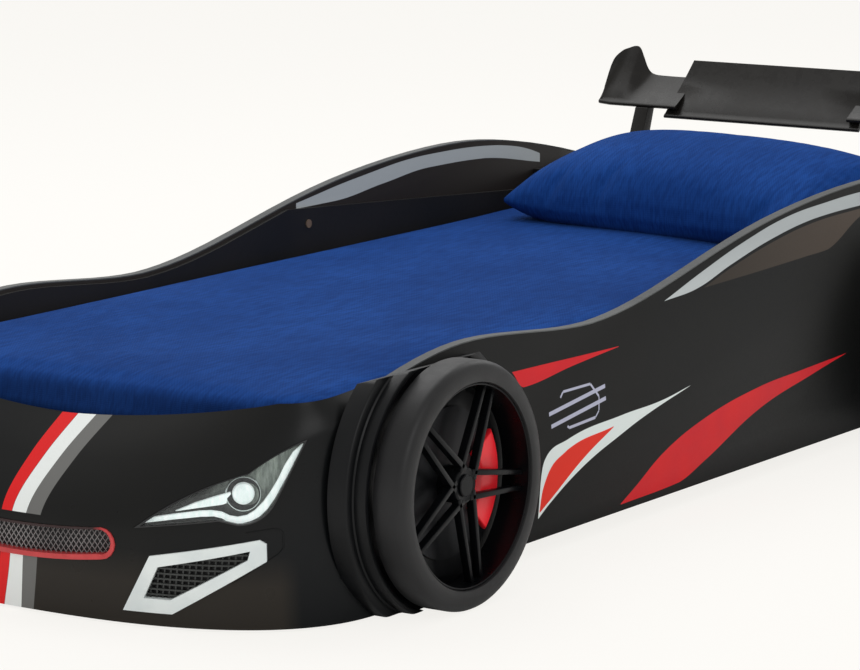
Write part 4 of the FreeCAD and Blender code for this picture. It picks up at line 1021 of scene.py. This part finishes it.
def make_wing():
    """Centre blade and two end pieces whose tips curl up."""
    bm = bmesh.new()
    runs = []
    steps = 36
    knots = [Vector(k) for k in WING_TOPS]
    for side, _ in SIDES:
        loops = []
        for i in range(steps + 1):
            x, top, chord = through(knots, i / steps)
            foot = 0.528 + 0.002 * max(0.0, (x - 0.35) / 0.024)
            loops.append(blade_section(bm, side * x, foot, top, chord, 0.012 if i < steps else 0.006))
        runs.append(loops)
    centre = ((-.2025, .614, -.018), (-.2015, .616, -.018), (-.06, .616, 0), (.06, .616, 0), (.2015, .616, .018),
              (.2025, .614, .018))
    runs.append([blade_section(bm, x, 0.510, top, 0.085, lean=lean) for x, top, lean in centre])
    for loops in runs:
        for one, other in zip(loops, loops[1:]):
            bmesh.ops.bridge_loops(bm, edges=one + other)
        for end in (loops[0], loops[-1]):
            bmesh.ops.contextual_create(bm, geom=end)
    tidy_shape(bm, 0.00001)
    fitted(as_object("wing_blade", bm, WING), ["wing"], angle=38.0)


# ---------------------------------------------------------------- floor, light and camera
def studio_floor():
    """Pale floor that takes the bed's shadow and shows white to the camera."""
    bm = bmesh.new()
    bmesh.ops.create_grid(bm, x_segments=1, y_segments=1, size=40.0)
    f = Finish("studio_floor", shade(250, 249, 247), 0.9, Specular_IOR_Level=0.1)
    f.feed("Base Color", f.mix(f.cloud(2.0), shade(251, 250, 247), shade(248, 247, 245)))
    glow = f.node("ShaderNodeEmission", inputs={"Color": (*shade(254, 252, 248), 1.0)})
    seen = f.node("ShaderNodeLightPath", output="Is Camera Ray") * 0.86
    f.blended(seen, Paint(f, f.shader.outputs[0]), glow)
    floor = as_object("floor", bm, f)


def studio_light():
    """White room, dimmer to the bed than to the camera, and three soft lamps."""
    world = bpy.data.worlds.new("studio")
    bpy.context.scene.world = world
    world.use_nodes = True
    tree = world.node_tree
    room, seen = tree.nodes["Background"], tree.nodes.new("ShaderNodeBackground")
    for wall, strength in ((room, 0.70), (seen, 1.0)):
        wall.inputs["Color"].default_value = (1.0, 0.995, 0.985, 1.0)
        wall.inputs["Strength"].default_value = strength
    pick = tree.nodes.new("ShaderNodeMixShader")
    ray = tree.nodes.new("ShaderNodeLightPath")
    tree.links.new(ray.outputs["Is Camera Ray"], pick.inputs[0])
    tree.links.new(room.outputs[0], pick.inputs[1])
    tree.links.new(seen.outputs[0], pick.inputs[2])
    tree.links.new(pick.outputs[0], tree.nodes["World Output"].inputs["Surface"])
    for name, place, size, power in (("key", (-2.0, 1.5, 5.0), 4.0, 110.0), ("fill", (5.0, -3.0, 3.5), 3.0, 62.0),
                                     ("back", (0.5, 5.5, 4.0), 3.0, 60.0)):
        data = bpy.data.lights.new(name, "AREA")
        data.energy, data.size = power, size
        lamp = bpy.data.objects.new(name, data)
        lamp.location = place
        lamp.rotation_mode = "QUATERNION"
        lamp.rotation_quaternion = (Vector((0, 0, 0.3)) - Vector(place)).to_track_quat("-Z", "Y")
        bpy.context.scene.collection.objects.link(lamp)


def photo_camera():
    """The photograph's view, for an image of 860 by 670."""
    data = bpy.data.cameras.new("camera")
    data.sensor_width, data.sensor_fit = 36.0, "HORIZONTAL"
    data.lens = 3944.34 / 860 * 36.0
    data.clip_start, data.clip_end = 0.1, 100.0
    camera = bpy.data.objects.new("camera", data)
    azimuth, elevation, roll = math.radians(34.756), math.radians(10.154), math.radians(-0.363)
    level = math.cos(elevation)
    back = Vector((math.sin(azimuth) * level, -math.cos(azimuth) * level, math.sin(elevation)))
    right = Vector((math.cos(azimuth), math.sin(azimuth), 0))
    up = back.cross(right)
    right, up = right * math.cos(roll) + up * math.sin(roll), up * math.cos(roll) - right * math.sin(roll)
    target, distance = Vector((0, -0.055, 0.25905)), 6.8967
    stand = Matrix.Translation(target + back * distance)
    camera.matrix_world = stand @ Matrix((right, up, back)).transposed().to_4x4()
    bpy.context.scene.collection.objects.link(camera)
    bpy.context.scene.camera = camera


for make in (make_nose, make_grille, make_fog_lamps, make_lenses, make_net, make_lamps, make_fog_nets, make_tyres,
             make_rims, make_arches, make_caps, make_mattress, make_pillow, make_boards, make_wing, studio_floor,
             studio_light, photo_camera):
    make()
bpy.context.scene.view_settings.view_transform = "Standard"
